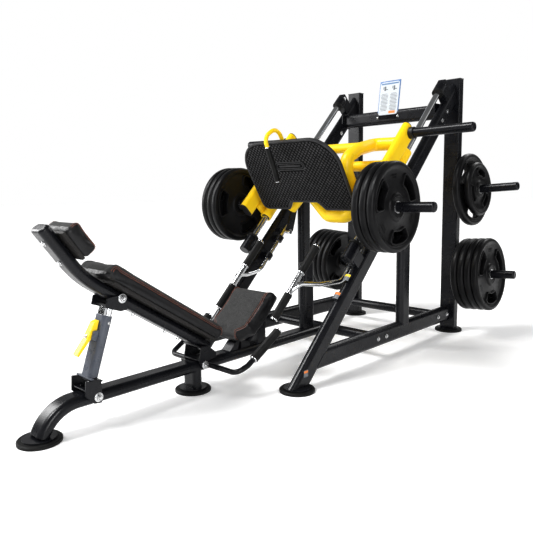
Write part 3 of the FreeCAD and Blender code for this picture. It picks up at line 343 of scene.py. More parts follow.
def new_piece(name, mesh, body, materials):
    """Put a finished mesh in the scene, riding on its body."""
    piece = add_object(name, mesh)
    for material in materials:
        mesh.materials.append(material)
    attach(piece, body)
    return piece


def body_of(node):
    return next(body for body, members in BODIES.items() if node in members)


def smooth(mesh, angle):
    """Smooth shading, with edges that turn by more than an angle in degrees left sharp."""
    mesh.polygons.foreach_set("use_smooth", [True] * len(mesh.polygons))
    mesh.set_sharp_from_angle(angle=math.radians(angle))


def spots(mesh):
    """A mesh's points as an array."""
    flat = np.empty(len(mesh.vertices) * 3)
    mesh.vertices.foreach_get("co", flat)
    return flat.reshape(-1, 3)


def ray_tree(mesh):
    """A mesh's faces, ready for rays to be shot at."""
    return BVHTree.FromPolygons([v.co for v in mesh.vertices], [p.vertices for p in mesh.polygons])


def lean_frame(slope):
    """Axes of a part that slopes: across, along the slope (degrees above +Y), and out of its face."""
    turn = math.radians(slope)
    along = Vector((0, math.cos(turn), math.sin(turn)))
    out = Vector((0, -math.sin(turn), math.cos(turn)))
    return Matrix((X_WAY, along, out)).transposed()


def local_box(node, axes):
    """A node's lowest and highest corner along sloping axes."""
    local = spots(NODES[node].data) @ np.array(axes)
    return Vector(local.min(0)), Vector(local.max(0))


def solids_of(node):
    """The points of each separate solid of a CAD node, left to right."""
    mesh = NODES[node].data
    points = spots(mesh)
    keys = {}
    where = [keys.setdefault(tuple(np.round(point, 5)), len(keys)) for point in points]
    parent = list(range(len(keys)))

    def root(index):
        while parent[index] != index:
            parent[index] = parent[parent[index]]
            index = parent[index]
        return index

    for edge in mesh.edges:
        first, second = (root(where[v]) for v in edge.vertices)
        parent[first] = second
    groups = {}
    for index, point in enumerate(points):
        groups.setdefault(root(where[index]), []).append(point)
    return sorted((np.array(group) for group in groups.values()), key=lambda g: tuple(g.mean(0).round(4)))


def turned(profile, sides=48):
    """Points and faces of a closed profile of (radius, height) turned about Z."""
    count = len(profile)
    points = [Vector((r * math.cos(a), r * math.sin(a), h))
              for a in (2 * math.pi * side / sides for side in range(sides)) for r, h in profile]
    faces = []
    for side in range(sides):
        near, far = side * count, (side + 1) % sides * count
        for index in range(count):
            after = (index + 1) % count
            faces.append((near + index, far + index, far + after, near + after))
    return points, faces


def placed(points, origin, way):
    """Move points from a Z-aligned frame to an origin and a direction."""
    turn = Vector((0, 0, 1)).rotation_difference(Vector(way)).to_matrix()
    return [turn @ point + Vector(origin) for point in points]


def spun(profile, seat, way, sides, kind):
    """A turned part that stands on a seat and points a way."""
    points, faces = turned(profile, sides)
    return placed(points, seat, way), faces, kind


def loft(rings):
    """Strips of quads between closed rings with the same number of points."""
    count = len(rings[0])
    points = [Vector(point) for ring in rings for point in ring]
    faces = []
    for ring in range(len(rings) - 1):
        for index in range(count):
            after = (index + 1) % count
            faces.append((ring * count + index, ring * count + after,
                          (ring + 1) * count + after, (ring + 1) * count + index))
    return points, faces


def closed_loft(rings):
    """A loft with both ends closed."""
    points, faces = loft(rings)
    count = len(rings[0])
    faces.append(tuple(reversed(range(count))))
    faces.append(tuple(range(len(points) - count, len(points))))
    return points, faces


def rings_of(outline, course):
    """Rings of an outline taken at each (inset, height) of a course."""
    return [[(x, y, level) for x, y in outline(inset)] for inset, level in course]


def join_parts(name, parts):
    """One mesh from several (points, faces, material index)."""
    mesh = bpy.data.meshes.new(name)
    points, faces, kinds = [], [], []
    for part_points, part_faces, kind in parts:
        base = len(points)
        points += [tuple(point) for point in part_points]
        faces += [tuple(base + index for index in face) for face in part_faces]
        kinds += [kind] * len(part_faces)
    mesh.from_pydata(points, [], faces)
    mesh.polygons.foreach_set("material_index", kinds)
    mesh.validate()
    return mesh


def finish_normals(mesh):
    work = bmesh.new()
    work.from_mesh(mesh)
    bmesh.ops.recalc_face_normals(work, faces=work.faces)
    work.to_mesh(mesh)
    work.free()


# ---- pads

CORNER_POINTS = 7
VOXEL = 0.005
CLOTH_STEPS = 20
FAN_TURN = 4.6
SEAM_STEP = 0.0015
KNEE_DROP, KNEE_DRAW = 0.95, 0.72


def rounded_outline(low, high, corner, cut):
    """Pad outline in its own plane: rounded corners, the lower two cut back on a slant."""
    points = []
    corners = [(high.x - cut, low.y), (high.x, low.y + cut)] if cut > 0 else [(high.x, low.y)]
    corners += [(high.x, high.y), (low.x, high.y)]
    corners += [(low.x, low.y + cut), (low.x + cut, low.y)] if cut > 0 else [(low.x, low.y)]
    count = len(corners)
    for index, corner_point in enumerate(corners):
        here = Vector(corner_point)
        back = (Vector(corners[index - 1]) - here).normalized()
        forth = (Vector(corners[(index + 1) % count]) - here).normalized()
        half_turn = (math.pi - back.angle(forth)) / 2
        reach = corner * math.tan(half_turn)
        start, end = here + back * reach, here + forth * reach
        for step in range(CORNER_POINTS):
            t = step / (CORNER_POINTS - 1)
            blend = start.lerp(here, t).lerp(here.lerp(end, t), t)
            points.append((blend.x, blend.y))
    return points


def foam_block(name, outline, low, high, edge):
    """Closed block of the outline's shape, with rolled edges, as evenly sized quads."""
    work = bmesh.new()
    base = [work.verts.new((x, y, low)) for x, y in outline]
    floor = work.faces.new(base)
    lid = bmesh.ops.extrude_face_region(work, geom=[floor])
    top = [v for v in lid["geom"] if isinstance(v, bmesh.types.BMVert)]
    bmesh.ops.translate(work, verts=top, vec=(0, 0, high - low))
    bmesh.ops.recalc_face_normals(work, faces=work.faces)
    rim = [e for e in work.edges if abs(e.verts[0].co.z - e.verts[1].co.z) < 1e-6]
    bmesh.ops.bevel(work, geom=rim, offset=edge, segments=4, affect="EDGES", profile=0.5)
    mesh = bpy.data.meshes.new(name)
    work.to_mesh(mesh)
    work.free()
    block = add_object(name, mesh)
    voxels = block.modifiers.new("even_quads", "REMESH")
    voxels.mode = "VOXEL"
    voxels.voxel_size = VOXEL
    apply_modifiers(block)
    return block


def apply_modifiers(piece):
    """Make what the modifiers show into the piece's own mesh."""
    depsgraph = bpy.context.evaluated_depsgraph_get()
    mesh = bpy.data.meshes.new_from_object(piece.evaluated_get(depsgraph))
    piece.modifiers.clear()
    piece.data = mesh


def swell(block, floor, cap):
    """Press the cover out like foam under a sewn cover, held flat where it meets its board."""
    rest = spots(block.data)
    held = block.vertex_groups.new(name="on_board")
    held.add([int(i) for i in np.nonzero(rest[:, 2] < floor + 0.004)[0]], 1.0, "REPLACE")
    cloth = block.modifiers.new("swell", "CLOTH")
    settings = cloth.settings
    settings.use_pressure = True
    settings.uniform_pressure_force = 4.0
    settings.vertex_group_mass = held.name
    settings.effector_weights.gravity = 0.0
    scene = bpy.context.scene
    for step in range(1, CLOTH_STEPS + 1):
        scene.frame_set(step)
    depsgraph = bpy.context.evaluated_depsgraph_get()
    swollen = bpy.data.meshes.new_from_object(block.evaluated_get(depsgraph))
    shift = spots(swollen) - rest
    length = np.linalg.norm(shift, axis=1, keepdims=True)
    shift *= np.minimum(1.0, cap / np.maximum(length, 1e-9))
    block.modifiers.clear()
    block.vertex_groups.clear()
    block.data.vertices.foreach_set("co", (rest + shift).ravel())
    block.data.update()
    bpy.data.meshes.remove(swollen)
    scene.frame_set(1)


def subdivide(block):
    finer = block.modifiers.new("finer", "SUBSURF")
    finer.levels = 1
    finer.render_levels = 1
    apply_modifiers(block)


def seam_line(tree, track, middle, reach):
    """Points and outward directions of a seam: over the face along a track, and down both ends."""
    found = []

    def shoot(spot, way):
        origin = Vector((spot.x, spot.y, middle))
        hit, normal, _, _ = tree.ray_cast(origin + way * reach, -way)
        if hit is not None:
            found.append((hit, normal))

    def fan(spot, way, steps):
        for step in steps:
            turn = math.radians(step * FAN_TURN)
            shoot(spot, Vector((way.x * math.sin(turn), way.y * math.sin(turn), math.cos(turn))))

    track = [Vector(point) for point in track]
    fan(track[0], (track[0] - track[1]).normalized(), range(24, 0, -1))
    for start, end in zip(track, track[1:]):
        steps = max(2, int((end - start).length / SEAM_STEP))
        for step in range(steps):
            shoot(start.lerp(end, step / steps), Vector((0, 0, 1)))
    fan(track[-1], (track[-1] - track[-2]).normalized(), range(0, 25))
    return found


def sink_seams(mesh, seams, depth, width):
    """Pull the cover in along its seams, as stitching does."""
    points = spots(mesh)
    line = np.array([tuple(hit) for seam in seams for hit, _ in seam])
    ways = np.array([tuple(normal) for seam in seams for _, normal in seam])
    batch = 4000
    for start in range(0, len(points), batch):
        chunk = points[start:start + batch]
        gaps = np.linalg.norm(chunk[:, None, :] - line[None], axis=2)
        nearest = gaps.argmin(1)
        pull = depth * np.exp(-(gaps.min(1) / width) ** 2)
        points[start:start + batch] = chunk - ways[nearest] * pull[:, None]
    mesh.vertices.foreach_set("co", points.ravel())
    mesh.update()


def stitches(seam, offset, length=0.0055, radius=0.0007):
    """Short raised threads in a row beside a seam."""
    parts = []
    walked, begun = 0.0, None
    for (here, out), (after, _) in zip(seam, seam[1:]):
        run = after - here
        if run.length < 1e-6 or run.length > 0.02:
            continue
        spot = here + run.cross(out).normalized() * offset + out * radius * 0.3
        if begun is None:
            begun, walked = spot, 0.0
        walked += run.length
        if walked >= length:
            parts.append(capsule(begun, spot, out, radius))
            begun = None
    return parts


def capsule(start, end, out, radius):
    """One thread: a short rounded rod, a little flattened against the cover."""
    side = (end - start).normalized().cross(out).normalized()
    sides = 6
    turns = [2 * math.pi * index / sides for index in range(sides)]
    rim = [(side * math.cos(turn) + out * math.sin(turn) * 0.8) * radius for turn in turns]
    rings = []
    for t, share in ((0.0, 0.35), (0.12, 0.85), (0.5, 1.0), (0.88, 0.85), (1.0, 0.35)):
        centre = start.lerp(end, t) + out * radius * 0.8 * math.sin(math.pi * t)
        rings.append([centre + spoke * share for spoke in rim])
    return (*closed_loft(rings), 0)


def build_pad(node, slope, corner, cut, inset, cap, edge):
    """A sewn pad in the place of its CAD block: cloth centre, vinyl sides, two stitched seams."""
    axes = lean_frame(slope)
    low, high = local_box(node, axes)
    shrink = 0.0055
    small_low = low + Vector((shrink, shrink, 0.0))
    small_high = high - Vector((shrink, shrink, shrink))
    outline = rounded_outline(small_low, small_high, corner, cut)
    block = foam_block(f"{node}_cover", outline, small_low.z, small_high.z, edge)
    swell(block, small_low.z, cap)
    subdivide(block)
    mesh = block.data
    middle = (low.z + high.z) / 2
    ends = edge + 0.014
    half = high.x - inset
    knee = low.y + cut * KNEE_DROP + inset * 0.4
    narrow = half - cut * KNEE_DRAW
    tree = ray_tree(mesh)
    seams = []
    for side in (-1, 1):
        track = [(side * half, high.y - ends), (side * half, low.y + ends)]
        if cut > 0:
            track = [(side * half, high.y - ends), (side * half, knee),
                     (side * narrow, low.y + ends), (side * narrow, low.y + ends - 0.002)]
        seams.append(seam_line(tree, track, middle, 0.3))
    sink_seams(mesh, seams, 0.0022, 0.0040)
    smooth(mesh, 80)
    kinds = []
    for face in mesh.polygons:
        x, y, z = face.center
        limit = half
        if cut > 0 and y < knee:
            share = min(1.0, (knee - y) / max(knee - low.y - ends, 1e-6))
            limit = half - cut * KNEE_DRAW * share
        kinds.append(0 if abs(x) < limit and z > middle - 0.012 else 1)
    mesh.polygons.foreach_set("material_index", kinds)
    stitched = [part for seam in seams for offset in (-0.0042, 0.0042) for part in stitches(seam, offset)]
    matrix = axes.to_4x4()
    mesh.transform(matrix)
    bpy.data.objects.remove(block)
    pad = new_piece(f"{node}_cover", mesh, body_of(node), [CLOTH, VINYL])
    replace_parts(pad, node)
    rows = join_parts(f"{node}_stitching", stitched)
    rows.transform(matrix)
    finish_normals(rows)
    smooth(rows, 60)
    new_piece(f"{node}_stitching", rows, body_of(node), [THREAD])


# ---- grips

def grip_profile(length, inner, outer):
    """Ribbed rubber sleeve with a plain collar at each end."""
    collar, pitch, depth = 0.010, 0.0045, 0.0011
    profile = [(inner, 0.0), (outer - 0.0015, 0.0), (outer, 0.0015), (outer, collar - 0.002),
               (outer - 0.001, collar)]
    ribs = int((length - 2 * collar) / pitch)
    step = (length - 2 * collar) / ribs
    for rib in range(ribs):
        base = collar + rib * step
        for share, rise in ((0.2, -depth), (0.42, 0.0), (0.78, 0.0), (1.0, -depth)):
            profile.append((outer - 0.0004 + rise, base + share * step))
    profile += [(outer - 0.001, length - collar), (outer, length - collar + 0.002),
                (outer, length - 0.0015), (outer - 0.0015, length), (inner, length)]
    return profile


def build_grips(node):
    """Ribbed grips in the place of the CAD sleeves, with a chrome ring at each end."""
    parts = []
    ring_length = 0.0055
    for points in solids_of(node):
        centre = points.mean(0)
        way = np.linalg.svd(points - centre, full_matrices=False)[2][0]
        along = (points - centre) @ way
        start, length = centre + way * along.min(), float(along.max() - along.min())
        radial = np.linalg.norm(points - centre - np.outer(along, way), axis=1)
        inner, outer = float(radial.min()) + 0.0002, float(radial.max())
        parts.append(spun(grip_profile(length, inner, outer), start, way, 40, 0))
        outer -= 0.0016
        for end in (-ring_length, length):
            tip = end + ring_length
            ring = [(inner, end), (outer - 0.001, end), (outer, end + 0.001), (outer, tip - 0.001),
                    (outer - 0.001, tip), (inner, tip)]
            parts.append(spun(ring, start, way, 40, 1))
    name = f"{node}_ribbed"
    mesh = join_parts(name, parts)
    finish_normals(mesh)
    smooth(mesh, 50)
    finishes = [FINISHES["grip_rubber"], FINISHES["chrome"]]
    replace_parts(new_piece(name, mesh, body_of(node), finishes), node)


# ---- footplate

TREAD_LEAN = 31.3
TREAD_PITCH, TREAD_GROOVE, TREAD_RISE, TREAD_ANGLE = 0.0170, 0.0062, 0.0020, 46.0
BADGE_LEVEL, BADGE_HALF, BADGE_RADIUS = 0.285, 0.105, 0.026


def tread_axes():
    """Axes of the footplate: across, up its face, and behind it."""
    turn = math.radians(TREAD_LEAN)
    up = Vector((0, -math.sin(turn), math.cos(turn)))
    behind = Vector((0, math.cos(turn), math.sin(turn)))
    return Matrix((X_WAY, up, behind)).transposed()


def footplate_edge(half, top, inset):
    """Footplate outline an inset inside its edge: large upper corners and a notch below, in metres."""
    corner, heel = 0.165 - inset, 0.046 - inset
    notch, sill, depth = 0.092 + inset, 0.133 + inset, 0.050 + inset
    half, top, foot = half - inset, top - inset, inset

    def arc(x, y, radius, first, steps=12):
        turns = [math.radians(first + 90 * step / steps) for step in range(steps + 1)]
        return [(x + radius * math.cos(turn), y + radius * math.sin(turn)) for turn in turns]

    points = arc(half - corner, top - corner, corner, 0)
    points += arc(corner - half, top - corner, corner, 90)
    points += arc(heel - half, foot + heel, heel, 180, 8)
    points += [(-sill, foot), (-notch, depth), (notch, depth), (sill, foot)]
    points += arc(half - heel, foot + heel, heel, 270, 8)
    return points


def tread_cells(outline, skip):
    """Raised rhombic cells cut from the outline by two families of slanting lines."""
    work = bmesh.new()
    work.faces.new([work.verts.new((x, y, 0)) for x, y in outline])
    lean = math.radians(TREAD_ANGLE)
    for sign in (-1, 1):
        normal = Vector((math.sin(lean) * sign, math.cos(lean), 0))
        for step in range(-60, 61):
            point = normal * step * TREAD_PITCH + Vector((0, 0.22, 0))
            geometry = work.verts[:] + work.edges[:] + work.faces[:]
            bmesh.ops.bisect_plane(work, geom=geometry, plane_co=point, plane_no=normal)
    bmesh.ops.recalc_face_normals(work, faces=work.faces)
    smallest = TREAD_PITCH * TREAD_PITCH * 0.18
    chosen = [f for f in work.faces if f.calc_area() > smallest and not skip(f.calc_center_median())]
    bmesh.ops.inset_individual(work, faces=chosen, thickness=TREAD_GROOVE / 2, depth=0.0)
    bmesh.ops.inset_individual(work, faces=chosen, thickness=TREAD_RISE * 0.45, depth=0.0)
    for face in work.faces:
        face.material_index = 1
    for face in chosen:
        face.material_index = 0
        for vert in face.verts:
            vert.co.z = -TREAD_RISE
    mesh = bpy.data.meshes.new("tread_cells")
    work.to_mesh(mesh)
    work.free()
    return mesh


def badge_outline(half_length, radius, steps=12):
    """Outline of a bar with round ends, an inset inside its edge."""
    reach = half_length - radius

    def outline(inset):
        points = []
        for first, centre in ((-90, reach), (90, -reach)):
            for step in range(steps + 1):
                turn = math.radians(first + 180 * step / steps)
                points.append((centre + (radius - inset) * math.cos(turn),
                               BADGE_LEVEL + (radius - inset) * math.sin(turn)))
        return points

    return outline


def badge_parts():
    """A plain oval badge: bands one inside another, and a raised bar."""
    parts = []
    # Bands of kind 1 sit lower and take the darkened groove copy, painted shade.
    bands = ((0.0, 0.0052, 0), (0.0052, 0.0102, 1), (0.0102, 0.0144, 0), (0.0144, 0.0254, 1))
    for near, far, kind in bands:
        lift = -0.0034 if kind == 0 else -0.0012
        course = [(near, 0.0006), (near, lift + 0.0008), (near + 0.0008, lift), (far - 0.0008, lift),
                  (far, lift + 0.0008), (far, 0.0006)]
        parts.append((*loft(rings_of(badge_outline(BADGE_HALF, BADGE_RADIUS), course)), kind))
    bar = rings_of(badge_outline(0.076, 0.0052, 6), ((0.0, 0.0006), (0.0, -0.0024), (0.0010, -0.0032)))
    points, faces = loft(bar)
    faces.append(tuple(range(len(points) - len(bar[0]), len(points))))
    parts.append((points, faces, 0))
    return parts


def build_footplate():
    """Footplate with a rolled rim, raised diamond tread and a plain oval badge."""
    axes = tread_axes()
    low, high = local_box("footplate", axes)
    half, top = high.x, high.y - low.y
    depth = high.z - low.z
    rim_width = 0.0120
    course = [(0.005, 0.005), (0.005, depth), (0.0008, depth), (0.0, depth - 0.001), (0.0, 0.0015),
              (0.0010, 0.0), (0.0025, -0.0012), (0.0070, -0.0016), (0.0105, -0.0010), (rim_width, 0.0004)]
    rings = rings_of(lambda inset: footplate_edge(half, top, inset), course)
    points, faces = loft(rings)
    faces.append(tuple(range(len(rings[0]))))
    parts = [(points, faces, 0)]

    def under_badge(place):
        reach = max(0.0, abs(place.x) - BADGE_HALF + BADGE_RADIUS)
        return math.hypot(reach, place.y - BADGE_LEVEL) < BADGE_RADIUS + 0.003

    cells = tread_cells(footplate_edge(half, top, rim_width), under_badge)
    cell_points = [Vector((v.co.x, v.co.y, v.co.z + 0.0004)) for v in cells.vertices]
    for kind in (0, 1):
        faces = [tuple(p.vertices) for p in cells.polygons if p.material_index == kind]
        parts.append((cell_points, faces, kind))
    bpy.data.meshes.remove(cells)
    mesh = join_parts("footplate_tread", parts + badge_parts())
    finish_normals(mesh)
    mesh.transform(Matrix.Translation((0, low.y, low.z)))
    mesh.transform(axes.to_4x4())
    smooth(mesh, 30)
    plate = new_piece("footplate_tread", mesh, "footplate",
                      # The groove copy at a fifth of the tone is painted shade in the grooves and the
                      # badge's lower bands.
                      [tread_paint("tread_paint", 1.0), tread_paint("groove_painted_shade", 0.20)])
    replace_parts(plate, "footplate")


# ---- card and labels

CARD_TILT = 9
LABEL_SPOTS = ((1.458, 0.494), (1.372, 0.413))
FOOT_LABEL_SPOT = (1.105, 0.080)


def slab_part(centre, across, up, width, height, depth, kind):
    """A thin rounded label or print block standing on a surface."""
    out = across.cross(up)
    corner = min(width, height) * 0.12
    rim = rounded_outline(Vector((-width / 2, -height / 2)), Vector((width / 2, height / 2)), corner, 0)
    lift = [(1.0, 0.0), (1.0, depth * 0.8), (0.985, depth)]
    rings = []
    for share, level in lift:
        rings.append([centre + across * x * share + up * y * share + out * level for x, y in rim])
    return (*closed_loft(rings), kind)


def build_card():
    """Instruction card in the sleeve: generic bars and blocks in place of its print."""
    tilt = math.radians(CARD_TILT)
    up = Vector((0, math.sin(tilt), math.cos(tilt)))
    low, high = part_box("card_holder")
    height = (high.z - low.z) / math.cos(tilt)
    base = Vector(((low.x + high.x) / 2, low.y, low.z)) + X_WAY.cross(up) * 0.0004
    width = high.x - low.x

    parts = []

    def block(x, share, wide, tall, depth, kind):
        spot = base + X_WAY * x + up * (height * share)
        parts.append(slab_part(spot, X_WAY, up, wide, tall, depth, kind))

    block(0, 0.54, width * 0.93, height * 0.86, 0.0006, 0)
    block(0, 0.925, width * 0.84, 0.010, 0.0010, 2)
    for column in (-0.034, 0.034):
        block(column, 0.80, 0.012, 0.030, 0.0010, 1)
        block(column + 0.010, 0.775, 0.022, 0.005, 0.0010, 1)
        block(column - 0.012, 0.82, 0.005, 0.018, 0.0010, 1)
        for row in range(13):
            block(column, 0.66 - row * 0.036, 0.052 if row % 4 else 0.040, 0.0032, 0.0009, 1)
    block(0.030, 0.175, 0.048, 0.016, 0.0010, 3)
    mesh = join_parts("instruction_card", parts)
    finish_normals(mesh)
    new_piece("instruction_card", mesh, "frame", [PAPER, GREY_INK, BLUE_INK, ORANGE_INK])


def curved_label(centre, along, out, bend, length, kind, lift):
    """A sticker wrapped round a rail's rounded edge: a patch of a cylinder about the rail's edge line."""
    side = along.cross(out)
    points = []
    steps = 12
    for step in range(steps + 1):
        turn = math.radians(-42 + 84 * step / steps)
        ray = out * math.cos(turn) + side * math.sin(turn)
        points += [centre + ray * (bend + lift) + along * length * end for end in (-0.5, 0.5)]
    faces = [(low, low + 2, low + 3, low + 1) for low in range(0, 2 * steps, 2)]
    return points, faces, kind


def build_labels():
    """Small generic stickers: two wrapped over the right-hand rail's upper edge, one beside its foot."""
    low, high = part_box("right_rail")
    along = Vector((0, 1, 1)).normalized()
    out = Vector((0, -1, 1)).normalized()
    bend = (high.x - low.x) / 2
    parts = []
    for (y, z), colour in zip(LABEL_SPOTS, (1, 2)):
        edge = Vector(((low.x + high.x) / 2, y, z)) - out * (bend - 0.002)
        bands = [(0.0, 0.040, 0, 0.0002), (0.011, 0.014, colour, 0.0004)]
        bands += [(row, 0.0022, 3, 0.0004) for row in (-0.002, -0.008, -0.014)]
        for row, length, kind, lift in bands:
            parts.append(curved_label(edge + along * row, along, out, bend, length, kind, lift))
    level, upright = Vector((0, 1, 0)), Vector((0, 0, 1))
    centre = Vector((high.x + 0.0001, *FOOT_LABEL_SPOT))
    parts.append(slab_part(centre, level, upright, 0.032, 0.034, 0.0004, 3))
    blocks = ((0.008, 0.028, 0.012, 2), (-0.003, 0.026, 0.002, 0), (-0.009, 0.026, 0.002, 0))
    for row, wide, tall, kind in blocks:
        spot = centre + upright * row + X_WAY * 0.0003
        parts.append(slab_part(spot, level, upright, wide, tall, 0.0003, kind))
    mesh = join_parts("rail_labels", parts)
    finish_normals(mesh)
    new_piece("rail_labels", mesh, "frame", [LABEL_PAPER, YELLOW_INK, ORANGE_INK, GREY_INK])


# ---- small fittings

PAD_BOLTS_Y = (0.060, 0.118, 0.434, 0.596, 0.667)
RAIL_BOLTS_YZ = ((2.478, 1.430), (2.392, 1.322), (1.960, 0.900))
CARD_BOLTS_X = (-0.072, 0.078)
TOP_BEAM_LEVEL = 1.402
STUB_YZ = (1.760, 0.682)


def fixing(node, origin, way, radius, tall=0.0):
    """A domed bolt and washer where a line from an origin first meets a CAD node."""
    hit, normal, _, _ = ray_tree(NODES[node].data).ray_cast(Vector(origin), Vector(way))
    out = normal if normal.dot(Vector(way)) < 0 else -normal
    profile = [(0.0, -0.001), (radius * 1.45, -0.001), (radius * 1.45, 0.0012), (radius * 1.35, 0.0018),
               (radius, 0.0018), (radius, 0.0050 + tall), (radius * 0.85, 0.0070 + tall),
               (radius * 0.45, 0.0076 + tall), (radius * 0.40, 0.0050 + tall), (0.0, 0.0050 + tall)]
    return spun(profile, hit, out, 24, 0)


def pivot_nuts(node):
    """Collar, domed ring and bolt end over both heads of each bolt that runs right across a node."""
    collar = [(0.0, -0.0062), (0.0160, -0.0062), (0.0168, -0.0056), (0.0168, -0.0040), (0.0145, -0.0028),
              (0.0122, -0.0028), (0.0122, 0.0012), (0.0112, 0.0034), (0.0088, 0.0044), (0.0068, 0.0036),
              (0.0068, 0.0016), (0.0056, 0.0016), (0.0056, 0.0078), (0.0046, 0.0088), (0.0, 0.0088)]
    shortest = 0.1
    parts = []
    for cloud in solids_of(node):
        low, high = cloud.min(0), cloud.max(0)
        if high[0] - low[0] < shortest:
            continue
        for side, end in ((-1, low[0]), (1, high[0])):
            seat = (end, (low[1] + high[1]) / 2, (low[2] + high[2]) / 2)
            parts.append(spun(collar, seat, (side, 0, 0), 32, 0))
    return parts


def rail_fixings():
    """Joint bolts inside the rails and on the top beam, and the stub inside the left rail."""
    parts = []
    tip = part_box("guide_rods")[1]
    for side, rail in ((-1, "left_rail"), (1, "right_rail")):
        for y, z in RAIL_BOLTS_YZ:
            parts.append(fixing(rail, (side * 0.2, y, z), (side, 0, 0), 0.010))
        parts.append(fixing("rod_top_brackets", (side * 0.1, tip.y, tip.z), (side, 0, 0), 0.010))
    for x in CARD_BOLTS_X:
        parts.append(fixing("top_beam", (x, 2.2, TOP_BEAM_LEVEL), (0, 1, 0), 0.006))
    parts += pivot_nuts("frame_bolts")
    stub = [(0.0, -0.001), (0.016, -0.001), (0.016, 0.006), (0.0125, 0.010), (0.0125, 0.046),
            (0.0145, 0.050), (0.0145, 0.062), (0.0, 0.062)]
    knob = [(0.0, 0.061), (0.0125, 0.061), (0.0130, 0.070), (0.0100, 0.078), (0.0, 0.081)]
    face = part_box("left_rail")[1].x
    for profile, kind in ((stub, 1), (knob, 0)):
        parts.append(spun(profile, (face, *STUB_YZ), X_WAY, 32, kind))
    return parts


def build_fixings():
    """Bolts and nuts on the backrest, the frame, the adjusting lever and the strut's sleeve."""
    under = [fixing("backrest_tube", (0, y, -0.5), (0, 0, 1), 0.008, 0.006) for y in PAD_BOLTS_Y]
    low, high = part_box("adjust_lever")
    paddle = fixing("adjust_lever", (0.0, low.y - 0.1, low.z + (high.z - low.z) * 0.55), (0, 1, 0), 0.006)
    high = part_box("strut_sleeve")[1]
    stop = fixing("strut_sleeve", (0.2, high.y - 0.024, high.z - 0.035), (-1, 0, 0), 0.005)
    for name, body, parts in (("backrest_bolts", "backrest", under + pivot_nuts("strut_head_bolt")),
                              ("rail_bolts", "frame", rail_fixings()),
                              ("lever_bolt", "adjust_lever", [paddle]),
                              ("sleeve_bolt", "strut_sleeve", [stop])):
        mesh = join_parts(name, parts)
        finish_normals(mesh)
        smooth(mesh, 35)
        new_piece(name, mesh, body, [FINISHES["zinc"], FINISHES["plastic"]])


# ---- weight plates

def hand_hole(middle, low, high, half_turn, corner, grow):
    """Rounded kidney outline about a plate's axis, grown outwards by a given distance."""
    centre = (low + high) / 2
    reach = centre * half_turn + grow
    rim = rounded_outline(Vector((-reach, low - grow)), Vector((reach, high + grow)), corner + grow, 0)
    points = []
    for index, here in enumerate(rim):
        after = rim[(index + 1) % len(rim)]
        inserts = 10 if index % CORNER_POINTS == CORNER_POINTS - 1 else 1
        for step in range(inserts):
            share = step / inserts
            sweep = here[0] + (after[0] - here[0]) * share
            radius = here[1] + (after[1] - here[1]) * share
            turn = middle + sweep / centre
            points.append((radius * math.cos(turn), radius * math.sin(turn)))
    return points


def plate_bands(radius):
    """Where a plate's hub ends and its rim begins."""
    return radius * 0.30, radius - max(0.026, radius * 0.13)


def plate_profile(radius, bore, thick):
    """Half section of a plate: steel-lined bore, raised hub, thin web and a fat rounded rim."""
    hub, rim = plate_bands(radius)
    front = [(bore, -0.004), (bore + 0.002, -0.003), (hub - 0.016, -0.003), (hub - 0.014, -0.0008),
             (hub - 0.004, -0.0008), (hub, -0.0030), (hub + 0.004, -0.0095), (hub + 0.010, -0.0120),
             (rim - 0.016, -0.0120), (rim - 0.008, -0.0100), (rim - 0.002, -0.0045), (rim + 0.004, -0.0012),
             (rim + 0.009, 0.0), (radius - 0.016, 0.0), (radius - 0.009, -0.0016), (radius - 0.004, -0.0052),
             (radius - 0.0012, -0.0100), (radius, -0.0160)]
    return [(r, thick + z) for r, z in front] + [(r, -z) for r, z in reversed(front)]


def plate_mesh(radius, bore, thick):
    """One plate about its own Z: turned body, three hand-holes with raised lips, and plain raised bars."""
    hub, rim = plate_bands(radius)
    low, high, half_turn, corner = hub + (rim - hub) * 0.42, rim - 0.017, math.radians(26), 0.016
    points, faces = turned(plate_profile(radius, bore, thick), 96)
    body = add_object("plate_body", join_parts("plate_body", [(points, faces, 0)]))
    finish_normals(body.data)
    cuts, lips, bars = [], [], []
    for third in range(3):
        middle = math.radians(90 + 120 * third)

        def hole(grow):
            return hand_hole(middle, low, high, half_turn, corner, grow)

        cuts.append((*closed_loft(rings_of(hole, ((0.002, -0.1), (0.002, 0.2)))), 0))
        course = [(0.0, thick / 2), (0.0, thick - 0.006), (0.0012, thick - 0.0036), (0.0040, thick - 0.0028),
                  (0.0068, thick - 0.0036), (0.0085, thick - 0.0060), (0.0095, thick - 0.0125)]
        for face in (course, [(grow, thick - z) for grow, z in course]):
            lips.append((*loft(rings_of(hole, face)), 0))
        turn = middle + math.radians(60)
        ray = Vector((math.cos(turn), math.sin(turn), 0))
        side = Vector((-math.sin(turn), math.cos(turn), 0))
        for place, half in ((0.70, 0.030), (0.60, 0.022)):
            centre = ray * (hub + (rim - hub) * place) + Vector((0, 0, thick - 0.0120))
            bars.append(slab_part(centre, side, ray, 2 * half * radius / 0.225, 0.009, 0.0022, 0))
    tool = add_object("hand_hole_tool", join_parts("hand_hole_tool", cuts))
    finish_normals(tool.data)
    cutting = body.modifiers.new("hand_holes", "BOOLEAN")
    cutting.operation = "DIFFERENCE"
    cutting.solver = "EXACT"
    cutting.object = tool
    apply_modifiers(body)
    solid = [(spots(body.data), [tuple(p.vertices) for p in body.data.polygons], 0)]
    sleeve = [(bore, 0.003), (bore + 0.0045, 0.003), (bore + 0.0045, thick - 0.0022), (bore, thick - 0.0022)]
    lining = [(*turned(sleeve, 64), 1)]
    bpy.data.objects.remove(body)
    bpy.data.objects.remove(tool)
    mesh = join_parts("plate", solid + lips + bars + lining)
    finish_normals(mesh)
    smooth(mesh, 32)
    return mesh


